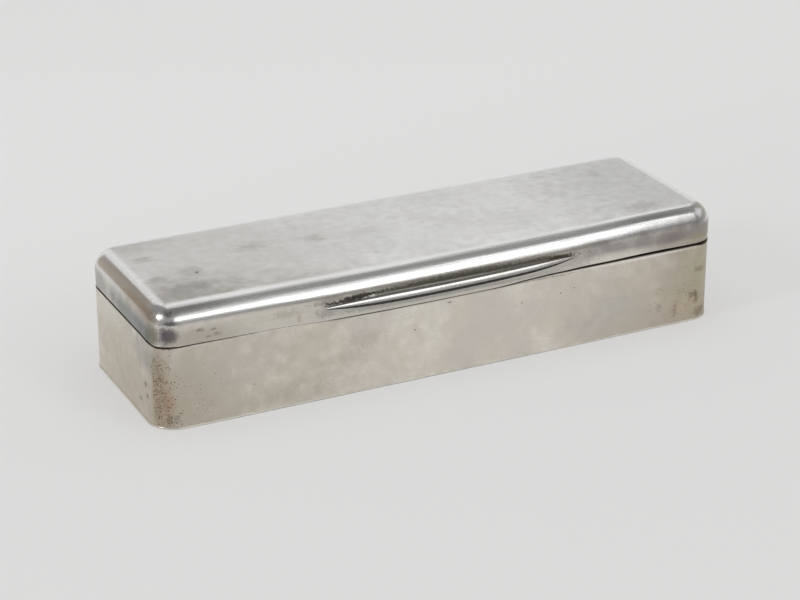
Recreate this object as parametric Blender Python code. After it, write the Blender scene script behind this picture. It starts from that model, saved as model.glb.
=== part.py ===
"""A long, narrow silver table box: soldered base, cedar lining, hinged lid and thumb piece.

Lengths are in metres. The origin is the centre of the underside, +X runs along the box,
the front with the thumb piece faces -Y, and +Z is up. The box is drawn closed.
"""

from math import asin, cos, pi, radians, sin

import bmesh
import bpy
from mathutils import Vector

# Box as a whole
BOX_LENGTH = 0.200
BOX_WIDTH = 0.062
CORNER_RADIUS = 0.009

# Clearances
SEAT_GAP = 0.0003
RUNNING_GAP = 0.0001
CUT_OVERRUN = 0.004

# Base: a wall bent from sheet, standing on a soldered plate
BASE_HEIGHT = 0.028
WALL_THICKNESS = 0.0010
PLATE_THICKNESS = 0.0010
PLATE_LEDGE = 0.0002
PLATE_SOFTENING = 0.0003
RIM_SOFTENING = 0.0002

# Lid: one raised shell with a quarter-round edge
LID_THICKNESS = 0.0010
SKIRT_HEIGHT = 0.0053
EDGE_RADIUS = 0.0064
TIGHTEST_CORNER = 0.0006

# Thumb piece: a long lens of half-round wire on the skirt of the lid
THUMB_LENGTH = 0.087
THUMB_HEIGHT = 0.0034
THUMB_DEPTH = 0.0020
THUMB_RISE_SHARE = 0.74
THUMB_SHIFT = 0.0011
THUMB_TIP_SHARE = 0.06

# Hinge: knuckles half sunk in the back, held in gutters whose outer edges stop the lid
HINGE_MARGIN = 0.0010
KNUCKLE_COUNT = 7
KNUCKLE_RADIUS = 0.0014
KNUCKLE_GAP = 0.0002
KNUCKLE_SOFTENING = 0.00015
PIN_RADIUS = 0.0007
PIN_SOFTENING = 0.0002
PLUG_LENGTH = 0.0020
BEARER_LIP = 0.0007
STOP_ANGLE = 96

# Cedar lining
FLOOR_THICKNESS = 0.0020
BOARD_THICKNESS = 0.0030
BOARD_STAND = 0.0015
BOARD_SOFTENING = 0.0004
DIVIDER_THICKNESS = 0.0025
DIVIDER_DROP = 0.0040
HOUSING_DEPTH = 0.0010

# Facets
CORNER_STEPS = 10
EDGE_STEPS = 8
TUBE_SIDES = 32
GUTTER_STEPS = 12
PIN_SIDES = 24
THUMB_STATIONS = 24
THUMB_SIDES = 8
SMOOTH_ANGLE = radians(35)

# Levels and planes that several pieces share
BACK = BOX_WIDTH / 2
FRONT = -BOX_WIDTH / 2
LID_FOOT = BASE_HEIGHT + SEAT_GAP
SKIRT_TOP = LID_FOOT + SKIRT_HEIGHT
BOX_HEIGHT = SKIRT_TOP + EDGE_RADIUS
HINGE_LENGTH = BOX_LENGTH - 2 * (CORNER_RADIUS + HINGE_MARGIN)
HINGE_Y = BACK
HINGE_Z = BASE_HEIGHT + SEAT_GAP / 2
GROOVE_RADIUS = KNUCKLE_RADIUS + SEAT_GAP
BEARER_RADIUS = GROOVE_RADIUS + BEARER_LIP
SLOT_REACH = BEARER_RADIUS + SEAT_GAP
WALL_FOOT = PLATE_THICKNESS + SEAT_GAP
FLOOR_TOP = WALL_FOOT + FLOOR_THICKNESS
BOARD_FOOT = FLOOR_TOP + SEAT_GAP
LINING_INSET = max(WALL_THICKNESS, LID_THICKNESS) + SEAT_GAP
BOARD_INSET = LINING_INSET + BOARD_THICKNESS
BEARER_FRONT = HINGE_Y - BEARER_RADIUS


def clear_scene():
    """Remove whatever the file holds, so that only the box is left."""
    for thing in list(bpy.data.objects):
        bpy.data.objects.remove(thing, do_unlink=True)


def make_material(name, colour, roughness, metallic):
    """A plain Principled material in the colour of the piece."""
    material = bpy.data.materials.new(name)
    material.use_nodes = True
    shader = material.node_tree.nodes["Principled BSDF"]
    shader.inputs["Base Color"].default_value = (*colour, 1.0)
    shader.inputs["Roughness"].default_value = roughness
    shader.inputs["Metallic"].default_value = metallic
    return material


def rounded_outline(inset, steps=CORNER_STEPS):
    """Points of the box's plan, anticlockwise, drawn in from its outside by inset."""
    half_x = BOX_LENGTH / 2 - inset
    half_y = BOX_WIDTH / 2 - inset
    radius = max(CORNER_RADIUS - inset, TIGHTEST_CORNER)
    points = []
    for corner in range(4):
        side_x = 1 if corner in (0, 3) else -1
        side_y = 1 if corner < 2 else -1
        centre_x = side_x * (half_x - radius)
        centre_y = side_y * (half_y - radius)
        for step in range(steps + 1):
            angle = (corner + step / steps) * pi / 2
            points.append((centre_x + radius * cos(angle), centre_y + radius * sin(angle)))
    return points


def plan_ring(inset, height):
    """The box's plan, drawn in by inset, as a ring of points at one height."""
    return [Vector((x, y, height)) for x, y in rounded_outline(inset)]


def tube_ring(x, radius, sides):
    """A ring about the X axis, turning so that a run of rings towards +X faces out."""
    ring = []
    for side in range(sides):
        angle = 2 * pi * side / sides
        ring.append(Vector((x, radius * cos(angle), radius * sin(angle))))
    return ring


def loft(name, rings, closed_path=False):
    """Skin a run of rings with quads. An open path is capped, a closed one joins its ends."""
    mesh = bpy.data.meshes.new(name)
    shape = bmesh.new()
    loops = [[shape.verts.new(point) for point in ring] for ring in rings]
    pairs = list(zip(loops, loops[1:]))
    if closed_path:
        pairs.append((loops[-1], loops[0]))
    for lower, upper in pairs:
        for index in range(len(lower)):
            after = (index + 1) % len(lower)
            shape.faces.new((lower[index], lower[after], upper[after], upper[index]))
    if not closed_path:
        shape.faces.new(list(reversed(loops[0])))
        shape.faces.new(loops[-1])
    bmesh.ops.recalc_face_normals(shape, faces=shape.faces)
    shape.to_mesh(mesh)
    shape.free()
    return mesh


def box_mesh(name, low, high):
    """A block between two opposite corners."""
    (x0, y0, z0), (x1, y1, z1) = low, high
    rings = []
    for z in (z0, z1):
        rings.append([Vector((x, y, z)) for x, y in ((x0, y0), (x1, y0), (x1, y1), (x0, y1))])
    return loft(name, rings)


def place(name, mesh, material, parent=None, location=(0, 0, 0)):
    """Put a mesh into the scene as one named piece, smooth but for its true edges."""
    piece = bpy.data.objects.new(name, mesh)
    bpy.context.scene.collection.objects.link(piece)
    if material is not None and not mesh.materials:
        mesh.materials.append(material)
    mesh.shade_smooth()
    mesh.set_sharp_from_angle(angle=SMOOTH_ANGLE)
    piece.location = location
    piece.parent = parent
    return piece


def make_cutter(name, mesh, location=(0, 0, 0)):
    """A helper solid that cuts other pieces and isn't one itself."""
    cutter = place(name, mesh, None, location=location)
    cutter.hide_render = True
    cutter.display_type = "WIRE"
    return cutter


def add_boolean(piece, cutter, operation="DIFFERENCE"):
    """Cut a piece by a helper, or keep only what lies inside the helper."""
    modifier = piece.modifiers.new(cutter.name, "BOOLEAN")
    modifier.operation = operation
    modifier.solver = "EXACT"
    modifier.object = cutter


def add_softening(piece, width):
    """Break the sharp edges of a piece with a small bevel."""
    modifier = piece.modifiers.new("softened_edges", "BEVEL")
    modifier.width = width
    modifier.segments = 1
    modifier.limit_method = "ANGLE"


def build_wall(silver, slot):
    """The wall: a band of sheet round the plan, its rim softened, cut back for the hinge."""
    inner = WALL_THICKNESS
    rim = BASE_HEIGHT
    rings = [
        plan_ring(0, WALL_FOOT),
        plan_ring(0, rim - RIM_SOFTENING),
        plan_ring(RIM_SOFTENING, rim),
        plan_ring(inner - RIM_SOFTENING, rim),
        plan_ring(inner, rim - RIM_SOFTENING),
        plan_ring(inner, WALL_FOOT),
    ]
    wall = place("wall_band", loft("wall_band", rings, closed_path=True), silver)
    add_boolean(wall, slot)


def build_plate(silver):
    """The bottom plate, a hair larger than the wall that is soldered to it."""
    rings = [
        plan_ring(PLATE_SOFTENING - PLATE_LEDGE, 0),
        plan_ring(-PLATE_LEDGE, PLATE_SOFTENING),
        plan_ring(-PLATE_LEDGE, PLATE_THICKNESS),
    ]
    place("base_plate", loft("base_plate", rings), silver)


def build_lid(silver, parent, slot):
    """The lid: skirt, quarter-round edge and flat top, hollow below and cut for the hinge."""
    inner_radius = EDGE_RADIUS - LID_THICKNESS
    foot = LID_FOOT + RIM_SOFTENING
    rings = []
    for step in range(EDGE_STEPS, -1, -1):
        angle = step / EDGE_STEPS * pi / 2
        inset = EDGE_RADIUS * (1 - cos(angle))
        rings.append(plan_ring(inset, SKIRT_TOP + EDGE_RADIUS * sin(angle)))
    rings.append(plan_ring(0, foot))
    rings.append(plan_ring(RIM_SOFTENING, LID_FOOT))
    rings.append(plan_ring(LID_THICKNESS - RIM_SOFTENING, LID_FOOT))
    rings.append(plan_ring(LID_THICKNESS, foot))
    for step in range(EDGE_STEPS + 1):
        angle = step / EDGE_STEPS * pi / 2
        inset = LID_THICKNESS + inner_radius * (1 - cos(angle))
        rings.append(plan_ring(inset, SKIRT_TOP + inner_radius * sin(angle)))
    mesh = hinge_frame(loft("lid_shell", rings))
    lid = place("lid_shell", mesh, silver, parent)
    add_boolean(lid, slot)


def hinge_frame(mesh):
    """Move a mesh drawn in the box's frame so that its origin is on the hinge axis."""
    for vertex in mesh.vertices:
        vertex.co -= Vector((0, HINGE_Y, HINGE_Z))
    return mesh


def build_thumb_piece(silver, parent):
    """A half-round lens: its height and depth swell and taper along circular arcs."""
    back = FRONT - SEAT_GAP
    middle = LID_FOOT + THUMB_RISE_SHARE * SKIRT_HEIGHT
    rings = []
    for station in range(THUMB_STATIONS + 1):
        along = 2 * station / THUMB_STATIONS - 1
        swell = THUMB_TIP_SHARE + (1 - THUMB_TIP_SHARE) * (1 - along * along)
        x = THUMB_SHIFT + along * THUMB_LENGTH / 2
        ring = []
        for side in range(THUMB_SIDES + 1):
            angle = pi * side / THUMB_SIDES
            out = THUMB_DEPTH * swell * sin(angle)
            up = THUMB_HEIGHT / 2 * swell * cos(angle)
            ring.append(Vector((x, back - out, middle + up)))
        rings.append(ring)
    mesh = hinge_frame(loft("thumb_piece", rings))
    place("thumb_piece", mesh, silver, parent)


def make_hinge_slot():
    """The long slot in the back of wall and lid that the bearers are soldered into."""
    half = HINGE_LENGTH / 2 + SEAT_GAP
    low = (-half, BEARER_FRONT - CUT_OVERRUN, HINGE_Z - SLOT_REACH)
    high = (half, BACK + CUT_OVERRUN, HINGE_Z + SLOT_REACH)
    return make_cutter("hinge_slot", box_mesh("hinge_slot", low, high))


def bearer_profile():
    """Half section of the lid's bearer about the axis, as (outwards, up) points.

    The gutter holds the knuckles from the rim round to the stop face. Its outside is round
    behind the box and square inside it.
    """
    rim = SEAT_GAP / 2
    stop = radians(STOP_ANGLE / 2)
    start = pi - asin(rim / GROOVE_RADIUS)
    profile = [(-BEARER_RADIUS, BEARER_RADIUS), (-BEARER_RADIUS, rim)]
    for step in range(GUTTER_STEPS + 1):
        angle = start + (stop - start) * step / GUTTER_STEPS
        profile.append((GROOVE_RADIUS * cos(angle), GROOVE_RADIUS * sin(angle)))
    for step in range(GUTTER_STEPS + 1):
        angle = stop + (pi / 2 - stop) * step / GUTTER_STEPS
        profile.append((BEARER_RADIUS * cos(angle), BEARER_RADIUS * sin(angle)))
    return profile


def build_bearer(name, turn, silver, parent):
    """A gutter strip along the hinge; turn is 1 for the lid's and -1 for the base's."""
    half = HINGE_LENGTH / 2
    rings = []
    for x in (-half, half):
        rings.append([Vector((x, out, turn * up)) for out, up in bearer_profile()])
    bearer = place(name, loft(name, rings), silver, parent)
    if parent is None:
        bearer.location = (0, HINGE_Y, HINGE_Z)


def build_knuckles(silver, hinge):
    """The knuckles in turn along the pin: odd ones belong to the base, even ones to the lid."""
    room = HINGE_LENGTH - (KNUCKLE_COUNT - 1) * KNUCKLE_GAP
    length = room / KNUCKLE_COUNT
    bore = PIN_RADIUS + RUNNING_GAP
    soft = KNUCKLE_SOFTENING
    half = length / 2
    profile = [
        (-half, bore),
        (-half, KNUCKLE_RADIUS - soft),
        (-half + soft, KNUCKLE_RADIUS),
        (half - soft, KNUCKLE_RADIUS),
        (half, KNUCKLE_RADIUS - soft),
        (half, bore),
    ]
    rings = [tube_ring(x, radius, TUBE_SIDES) for x, radius in profile]
    mesh = loft("knuckle", rings, closed_path=True)
    pitch = length + KNUCKLE_GAP
    for index in range(KNUCKLE_COUNT):
        x = (index - (KNUCKLE_COUNT - 1) / 2) * pitch
        if index % 2:
            place(f"knuckle_{index + 1}_lid", mesh, silver, hinge, (x, 0, 0))
        else:
            place(f"knuckle_{index + 1}_base", mesh, silver, None, (x, HINGE_Y, HINGE_Z))


def rod_mesh(name, radius, length, softening, sides):
    """A rod along X, centred on its origin, with its end edges broken."""
    half = length / 2
    profile = [
        (-half, radius - softening),
        (-half + softening, radius),
        (half - softening, radius),
        (half, radius - softening),
    ]
    return loft(name, [tube_ring(x, size, sides) for x, size in profile])


def build_pin(steel, silver):
    """The pin through all knuckles, and a silver plug behind each of its ends."""
    pin_length = HINGE_LENGTH - 2 * (PLUG_LENGTH + SEAT_GAP)
    pin = rod_mesh("hinge_pin", PIN_RADIUS, pin_length, PIN_SOFTENING, PIN_SIDES)
    place("hinge_pin", pin, steel, None, (0, HINGE_Y, HINGE_Z))
    plug = rod_mesh("pin_plug", PIN_RADIUS, PLUG_LENGTH, PIN_SOFTENING, PIN_SIDES)
    reach = (HINGE_LENGTH - PLUG_LENGTH) / 2
    for side, x in (("left", -reach), ("right", reach)):
        place(f"pin_plug_{side}", plug, silver, None, (x, HINGE_Y, HINGE_Z))


def build_lining(cedar):
    """The cedar boards: floor, four sides fitted to the round corners, and the divider."""
    outline = [plan_ring(LINING_INSET, z) for z in (0, BOX_HEIGHT)]
    envelope = make_cutter("lining_outline", loft("lining_outline", outline))
    past_x = BOX_LENGTH / 2 + CUT_OVERRUN
    past_y = BOX_WIDTH / 2 + CUT_OVERRUN
    inner_x = BOX_LENGTH / 2 - BOARD_INSET
    inner_y = BOX_WIDTH / 2 - BOARD_INSET
    end_y = inner_y - SEAT_GAP
    rings = [plan_ring(LINING_INSET, z) for z in (WALL_FOOT, FLOOR_TOP)]
    place("lining_floor", loft("lining_floor", rings), cedar)
    housing = make_housing_cutter(inner_y)
    notch = make_bearer_notch(past_y)
    front = build_board("lining_front", (-past_x, -past_y), (past_x, -inner_y), envelope, cedar)
    back = build_board("lining_back", (-past_x, inner_y), (past_x, past_y), envelope, cedar)
    build_board("lining_left", (-past_x, -end_y), (-inner_x, end_y), envelope, cedar)
    build_board("lining_right", (inner_x, -end_y), (past_x, end_y), envelope, cedar)
    add_boolean(front, housing)
    add_boolean(back, housing)
    add_boolean(back, notch)
    half = DIVIDER_THICKNESS / 2
    reach = inner_y + HOUSING_DEPTH - SEAT_GAP
    top = BASE_HEIGHT - DIVIDER_DROP
    mesh = box_mesh("lining_divider", (-half, -reach, BOARD_FOOT), (half, reach, top))
    add_softening(place("lining_divider", mesh, cedar), BOARD_SOFTENING)


def build_board(name, low, high, envelope, cedar):
    """One upright board, standing a little above the rim and fitted to the round corners."""
    top = BASE_HEIGHT + BOARD_STAND
    board = place(name, box_mesh(name, (*low, BOARD_FOOT), (*high, top)), cedar)
    add_boolean(board, envelope, "INTERSECT")
    add_softening(board, BOARD_SOFTENING)
    return board


def make_bearer_notch(past_y):
    """The long rebate behind the back board that leaves room for the hinge's bearers."""
    half = HINGE_LENGTH / 2 + SEAT_GAP
    low = (-half, BEARER_FRONT - SEAT_GAP, HINGE_Z - SLOT_REACH)
    return make_cutter("bearer_notch", box_mesh("bearer_notch", low, (half, past_y, BOX_HEIGHT)))


def make_housing_cutter(inner_y):
    """The upright housings in the long boards that hold the ends of the divider."""
    half = DIVIDER_THICKNESS / 2 + SEAT_GAP
    reach = inner_y + HOUSING_DEPTH
    top = BOX_HEIGHT + CUT_OVERRUN
    low = (-half, -reach, -CUT_OVERRUN)
    return make_cutter("divider_housing", box_mesh("divider_housing", low, (half, reach, top)))


def main():
    """Build the box closed, with everything on the lid hung from the hinge's axis."""
    clear_scene()
    silver = make_material("silver", (0.74, 0.72, 0.68), 0.28, 1.0)
    steel = make_material("pin_wire", (0.55, 0.53, 0.50), 0.35, 1.0)
    cedar = make_material("cedar", (0.43, 0.22, 0.12), 0.6, 0.0)
    hinge = bpy.data.objects.new("hinge_axis", None)
    bpy.context.scene.collection.objects.link(hinge)
    hinge.location = (0, HINGE_Y, HINGE_Z)
    slot = make_hinge_slot()
    build_wall(silver, slot)
    build_plate(silver)
    build_lining(cedar)
    build_bearer("bearer_base", -1, silver, None)
    build_bearer("bearer_lid", 1, silver, hinge)
    build_knuckles(silver, hinge)
    build_pin(steel, silver)
    build_lid(silver, hinge, slot)
    build_thumb_piece(silver, hinge)


main()
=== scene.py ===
"""Looks of a long, narrow silver table box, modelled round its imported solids.

The silver is old sheet: raised and soldered by hand, a little out of true, satin on the flats,
bright on the rolled edge of the lid, and stained where it has been handled or left to stand.
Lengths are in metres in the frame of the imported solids, and in millimetres where a name says so.
"""

from __future__ import annotations

import logging
import math
from collections.abc import Iterator, Sequence
from dataclasses import dataclass
from enum import Enum

import bmesh
import bpy
from mathutils import Matrix, Vector, noise


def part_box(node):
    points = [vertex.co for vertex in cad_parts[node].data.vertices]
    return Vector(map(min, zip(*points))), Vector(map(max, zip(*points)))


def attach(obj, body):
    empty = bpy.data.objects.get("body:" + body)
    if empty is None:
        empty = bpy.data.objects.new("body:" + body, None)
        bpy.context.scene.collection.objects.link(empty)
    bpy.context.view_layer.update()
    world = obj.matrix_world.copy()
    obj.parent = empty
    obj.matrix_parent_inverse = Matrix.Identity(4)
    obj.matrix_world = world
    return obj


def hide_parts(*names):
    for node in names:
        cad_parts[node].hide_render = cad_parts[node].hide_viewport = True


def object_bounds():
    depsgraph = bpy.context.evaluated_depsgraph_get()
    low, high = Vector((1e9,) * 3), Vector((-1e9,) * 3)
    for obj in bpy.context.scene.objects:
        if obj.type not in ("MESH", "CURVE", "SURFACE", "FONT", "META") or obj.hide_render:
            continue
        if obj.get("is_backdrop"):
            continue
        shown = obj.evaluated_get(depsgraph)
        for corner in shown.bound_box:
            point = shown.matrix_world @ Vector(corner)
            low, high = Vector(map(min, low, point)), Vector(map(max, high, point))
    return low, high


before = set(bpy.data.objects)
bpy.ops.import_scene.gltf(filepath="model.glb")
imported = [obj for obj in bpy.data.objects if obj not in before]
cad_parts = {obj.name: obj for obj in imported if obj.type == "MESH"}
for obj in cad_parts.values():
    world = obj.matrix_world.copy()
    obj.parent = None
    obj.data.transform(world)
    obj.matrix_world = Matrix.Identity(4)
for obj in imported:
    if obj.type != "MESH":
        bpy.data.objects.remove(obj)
CAD_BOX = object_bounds()

MM = 0.001
log = logging.getLogger("silver_table_box")

Point = tuple[float, float, float]
Colour = tuple[float, float, float]
Pairs = tuple[tuple[float, float], ...]
Ring = list[Point]
Corners = tuple[Point, ...]
Source = bpy.types.NodeSocket | float | Colour


class Body(Enum):
    """The two parts of the box that move against each other."""

    BASE = "base"
    LID = "lid"


class Slot(Enum):
    """Names of material slots that the drawn pieces are passed with."""

    SILVER = "silver"
    GILT = "silver_gilt"
    PIN = "pin_wire"


class Grain(Enum):
    """The direction in which the grain of a cedar board runs."""

    ALONG_X = (0.035, 1.0, 1.0)
    ALONG_Y = (1.0, 0.035, 1.0)


def clamp(value: float, low: float = 0.0, high: float = 1.0) -> float:
    """Keep a value between two limits."""
    return max(low, min(high, value))


def ease(value: float) -> float:
    """Turn a share from 0 to 1 into one that starts and stops gently."""
    share = clamp(value)
    return share * share * (3 - 2 * share)


def quarter(steps: int) -> list[tuple[float, float]]:
    """Sine and cosine at even steps through a right angle."""
    angles = [math.pi / 2 * step / steps for step in range(steps + 1)]
    return [(math.sin(angle), math.cos(angle)) for angle in angles]


def follow(points: Pairs, x: float) -> float:
    """Read a smooth line through a few points.

    Args:
        points: (place, value) pairs in order of place.
        x: The place to read at.

    Returns:
        The value there, on a curve that keeps its direction at each point.
    """
    if x <= points[0][0]:
        return points[0][1]
    if x >= points[-1][0]:
        return points[-1][1]
    index = next(number for number in range(1, len(points)) if x <= points[number][0])
    (x0, y0), (x1, y1) = points[index - 1], points[index]
    before = points[max(index - 2, 0)]
    after = points[min(index + 1, len(points) - 1)]
    span = x1 - x0
    start = (y1 - before[1]) / (x1 - before[0]) * span
    end = (after[1] - y0) / (after[0] - x0) * span
    share = (x - x0) / span
    left = (1 + 2 * share) * (1 - share) ** 2 * y0 + share * (1 - share) ** 2 * start
    right = share**2 * (3 - 2 * share) * y1 + share**2 * (share - 1) * end
    return left + right


def ripple(x: float, y: float, z: float, wavelength: float, seed: float) -> float:
    """Slow, even unevenness of hand-worked sheet.

    Args:
        x: Place along the box.
        y: Place across the box.
        z: Height.
        wavelength: Distance between one rise and the next.
        seed: Shift that gives each surface its own pattern.

    Returns:
        A value from about -1 to 1.
    """
    return noise.noise(Vector((x, y, z)) / wavelength + Vector((seed, seed * 2, -seed)))


def add_object(name: str, data: bpy.types.ID) -> bpy.types.Object:
    """Link a new object with this data into the scene."""
    thing = bpy.data.objects.new(name, data)
    bpy.context.scene.collection.objects.link(thing)
    return thing


@dataclass(frozen=True)
class Mark:
    """A soft-edged stain, rub or blush, or a painted highlight, reflection or shade, at one place of a
    surface, in millimetres.

    Attributes:
        centre: Middle of the mark in the frame of the box.
        reach: Half its size along each axis.
        colour: Colour of the silver inside it.
        strength: How far it covers the finish below, from 0 to 1.
        ragged: How far its outline wanders, as a share of its reach.
        soft: Width of its fading edge, as a share of its reach.
        dulling: What it adds to the roughness.
    """

    centre: Point
    reach: Point
    colour: Colour
    strength: float
    ragged: float
    soft: float
    dulling: float = 0.0

    @property
    def small(self) -> bool:
        """Whether the mark is small or slender, so that its outline is gritty."""
        gritty_below = 3.6
        return sorted(self.reach)[1] < gritty_below


@dataclass(frozen=True)
class Pits:
    """A field of small dark pits and specks, denser inside some marks, in millimetres.

    Attributes:
        fields: Where the pits lie and how dense they are there.
        spacing: Usual distance between two pits.
        size: Share of the spacing that one pit fills.
        colour: Colour in the pits.
        depth: Depth of a pit.
    """

    fields: tuple[Mark, ...]
    spacing: float
    size: float
    colour: Colour
    depth: float


class Nodes:
    """Adds and links the nodes of one shader tree."""

    def __init__(self, tree: bpy.types.NodeTree) -> None:
        """Start from a tree and the nodes it holds."""
        self.tree = tree

    def add(self, kind: str, **settings: object) -> bpy.types.ShaderNode:
        """Add a node and set its plain attributes.

        Args:
            kind: Blender's name for the kind of node.
            **settings: Attributes to set on it.

        Returns:
            The new node.
        """
        node = self.tree.nodes.new(kind)
        for key, value in settings.items():
            setattr(node, key, value)
        return node

    def plug(self, socket: bpy.types.NodeSocket, source: Source) -> None:
        """Link a socket, or set its value where the source is a number or a tuple."""
        if isinstance(source, bpy.types.NodeSocket):
            self.tree.links.new(source, socket)
        elif isinstance(source, tuple) and len(socket.default_value) == 4:
            socket.default_value = (*source, 1.0)
        else:
            socket.default_value = source

    def split(self, vector: bpy.types.NodeSocket) -> list[bpy.types.NodeSocket]:
        """Take a vector apart into x, y and z."""
        node = self.add("ShaderNodeSeparateXYZ")
        self.plug(node.inputs[0], vector)
        return list(node.outputs)

    def math(
        self, operation: str, first: Source, second: Source, third: Source = 0.0
    ) -> bpy.types.NodeSocket:
        """One arithmetic step.

        Args:
            operation: Blender's name for the operation.
            first: Number or socket.
            second: Number or socket.
            third: Number or socket, for operations that take three.

        Returns:
            The socket with the result.
        """
        node = self.add("ShaderNodeMath", operation=operation)
        for socket, source in zip(node.inputs, (first, second, third)):
            self.plug(socket, source)
        return node.outputs[0]

    def vector(self, operation: str, first: Source, second: Source = (0.0, 0.0, 0.0)) -> bpy.types.NodeSocket:
        """One step of vector arithmetic.

        Args:
            operation: Blender's name for the operation.
            first: Vector or socket.
            second: Vector or socket.

        Returns:
            The socket with the result, a number for LENGTH and a vector otherwise.
        """
        node = self.add("ShaderNodeVectorMath", operation=operation)
        self.plug(node.inputs[0], first)
        self.plug(node.inputs[1], second)
        return node.outputs[1 if operation == "LENGTH" else 0]

    def mix(self, share: Source, first: Source, second: Source) -> bpy.types.NodeSocket:
        """Blend two colours.

        Args:
            share: Share of the second, a number or a socket.
            first: Colour or socket.
            second: Colour or socket.

        Returns:
            The socket with the blend.
        """
        node = self.add("ShaderNodeMix", data_type="RGBA")
        self.plug(node.inputs["Factor"], share)
        self.plug(node.inputs[6], first)
        self.plug(node.inputs[7], second)
        return node.outputs[2]

    def fade(
        self, value: Source, start: float, end: float, low: float = 0.0, high: float = 1.0
    ) -> bpy.types.NodeSocket:
        """Map a value smoothly from one range to another.

        Args:
            value: The socket to map.
            start: Where the result is low.
            end: Where the result is high.
            low: Result at the start.
            high: Result at the end.

        Returns:
            The socket with the mapped value.
        """
        node = self.add("ShaderNodeMapRange", interpolation_type="SMOOTHSTEP")
        keys = ("Value", "From Min", "From Max", "To Min", "To Max")
        for key, source in zip(keys, (value, start, end, low, high)):
            self.plug(node.inputs[key], source)
        return node.outputs["Result"]


class Graph(Nodes):
    """One Principled material, with the colour, roughness and normal that its layers have come to."""

    def __init__(self, name: str, metallic: float, rough: float, tone: Colour, specular: float = 0.5) -> None:
        """Start a material with one shader.

        Args:
            name: Name of the material.
            metallic: Metallic value, the same all over.
            rough: Roughness below the layers.
            tone: Colour below the layers.
            specular: Strength of its gloss where it isn't metallic.
        """
        self.material = bpy.data.materials.new(name)
        self.material.use_nodes = True
        super().__init__(self.material.node_tree)
        self.shader = self.tree.nodes["Principled BSDF"]
        self.shader.inputs["Metallic"].default_value = metallic
        self.shader.inputs["Specular IOR Level"].default_value = specular
        self.colour: Source = tone
        self.rough: Source = rough
        self.normal: Source | None = None
        place = self.add("ShaderNodeTexCoord").outputs["Object"]
        self.place = self.vector("MULTIPLY", place, (1 / MM,) * 3)

    def cloud(
        self, per_mm: float, detail: float, stretch: Point = (1.0, 1.0, 1.0), wander: float = 0.0
    ) -> bpy.types.NodeSocket:
        """Fractal noise fixed to the box.

        Args:
            per_mm: Features for each millimetre.
            detail: Octaves.
            stretch: Factor on each axis, below 1 to draw features out along it.
            wander: Distortion.

        Returns:
            The socket with the noise, from 0 to 1 with its middle at 0.5.
        """
        node = self.add("ShaderNodeTexNoise")
        self.plug(node.inputs["Vector"], self.vector("MULTIPLY", self.place, stretch))
        for key, value in (("Scale", per_mm), ("Detail", detail), ("Distortion", wander)):
            node.inputs[key].default_value = value
        return node.outputs["Fac"]

    def cover(self, mark: Mark, wander: Source) -> bpy.types.NodeSocket:
        """How far a mark covers the finish at each place.

        Args:
            mark: The mark.
            wander: Noise that makes its outline ragged.

        Returns:
            The socket with its cover, from 0 to its strength.
        """
        away = self.vector("SUBTRACT", self.place, mark.centre)
        share = self.vector("LENGTH", self.vector("DIVIDE", away, mark.reach))
        shift = self.math("MULTIPLY_ADD", wander, mark.ragged * 2, -mark.ragged)
        return self.fade(self.math("ADD", share, shift), 1 + mark.soft, 1 - mark.soft, 0.0, mark.strength)

    def tint(self, share: Source, colour: Colour) -> None:
        """Lay a share of a colour over the colour so far."""
        self.colour = self.mix(share, self.colour, colour)

    def lay_stains_and_painted_light(self, marks: tuple[Mark, ...], fine: Source, ragged: Source) -> None:
        """Lay marks, stains and painted light alike, over the finish, each over the ones before it.

        Args:
            marks: The marks.
            fine: Noise for the outlines of small marks.
            ragged: Noise for the outlines of the others.
        """
        for mark in marks:
            cover = self.cover(mark, fine if mark.small else ragged)
            self.tint(cover, mark.colour)
            self.rough = self.math("MULTIPLY_ADD", cover, mark.dulling, self.rough)

    def relief(self, height: Source, depth: float) -> None:
        """Raise fine relief over the surface so far.

        Args:
            height: Socket with the height, from 0 to 1.
            depth: Height that 1 stands for, in metres.
        """
        node = self.add("ShaderNodeBump")
        node.inputs["Distance"].default_value = depth
        self.plug(node.inputs["Height"], height)
        if self.normal is not None:
            self.plug(node.inputs["Normal"], self.normal)
        self.normal = node.outputs["Normal"]

    def finish(self) -> bpy.types.Material:
        """Give the shader its layers, and hand the material over."""
        for key, layer in (("Base Color", self.colour), ("Roughness", self.rough), ("Normal", self.normal)):
            if layer is not None:
                self.plug(self.shader.inputs[key], layer)
        return self.material


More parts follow.
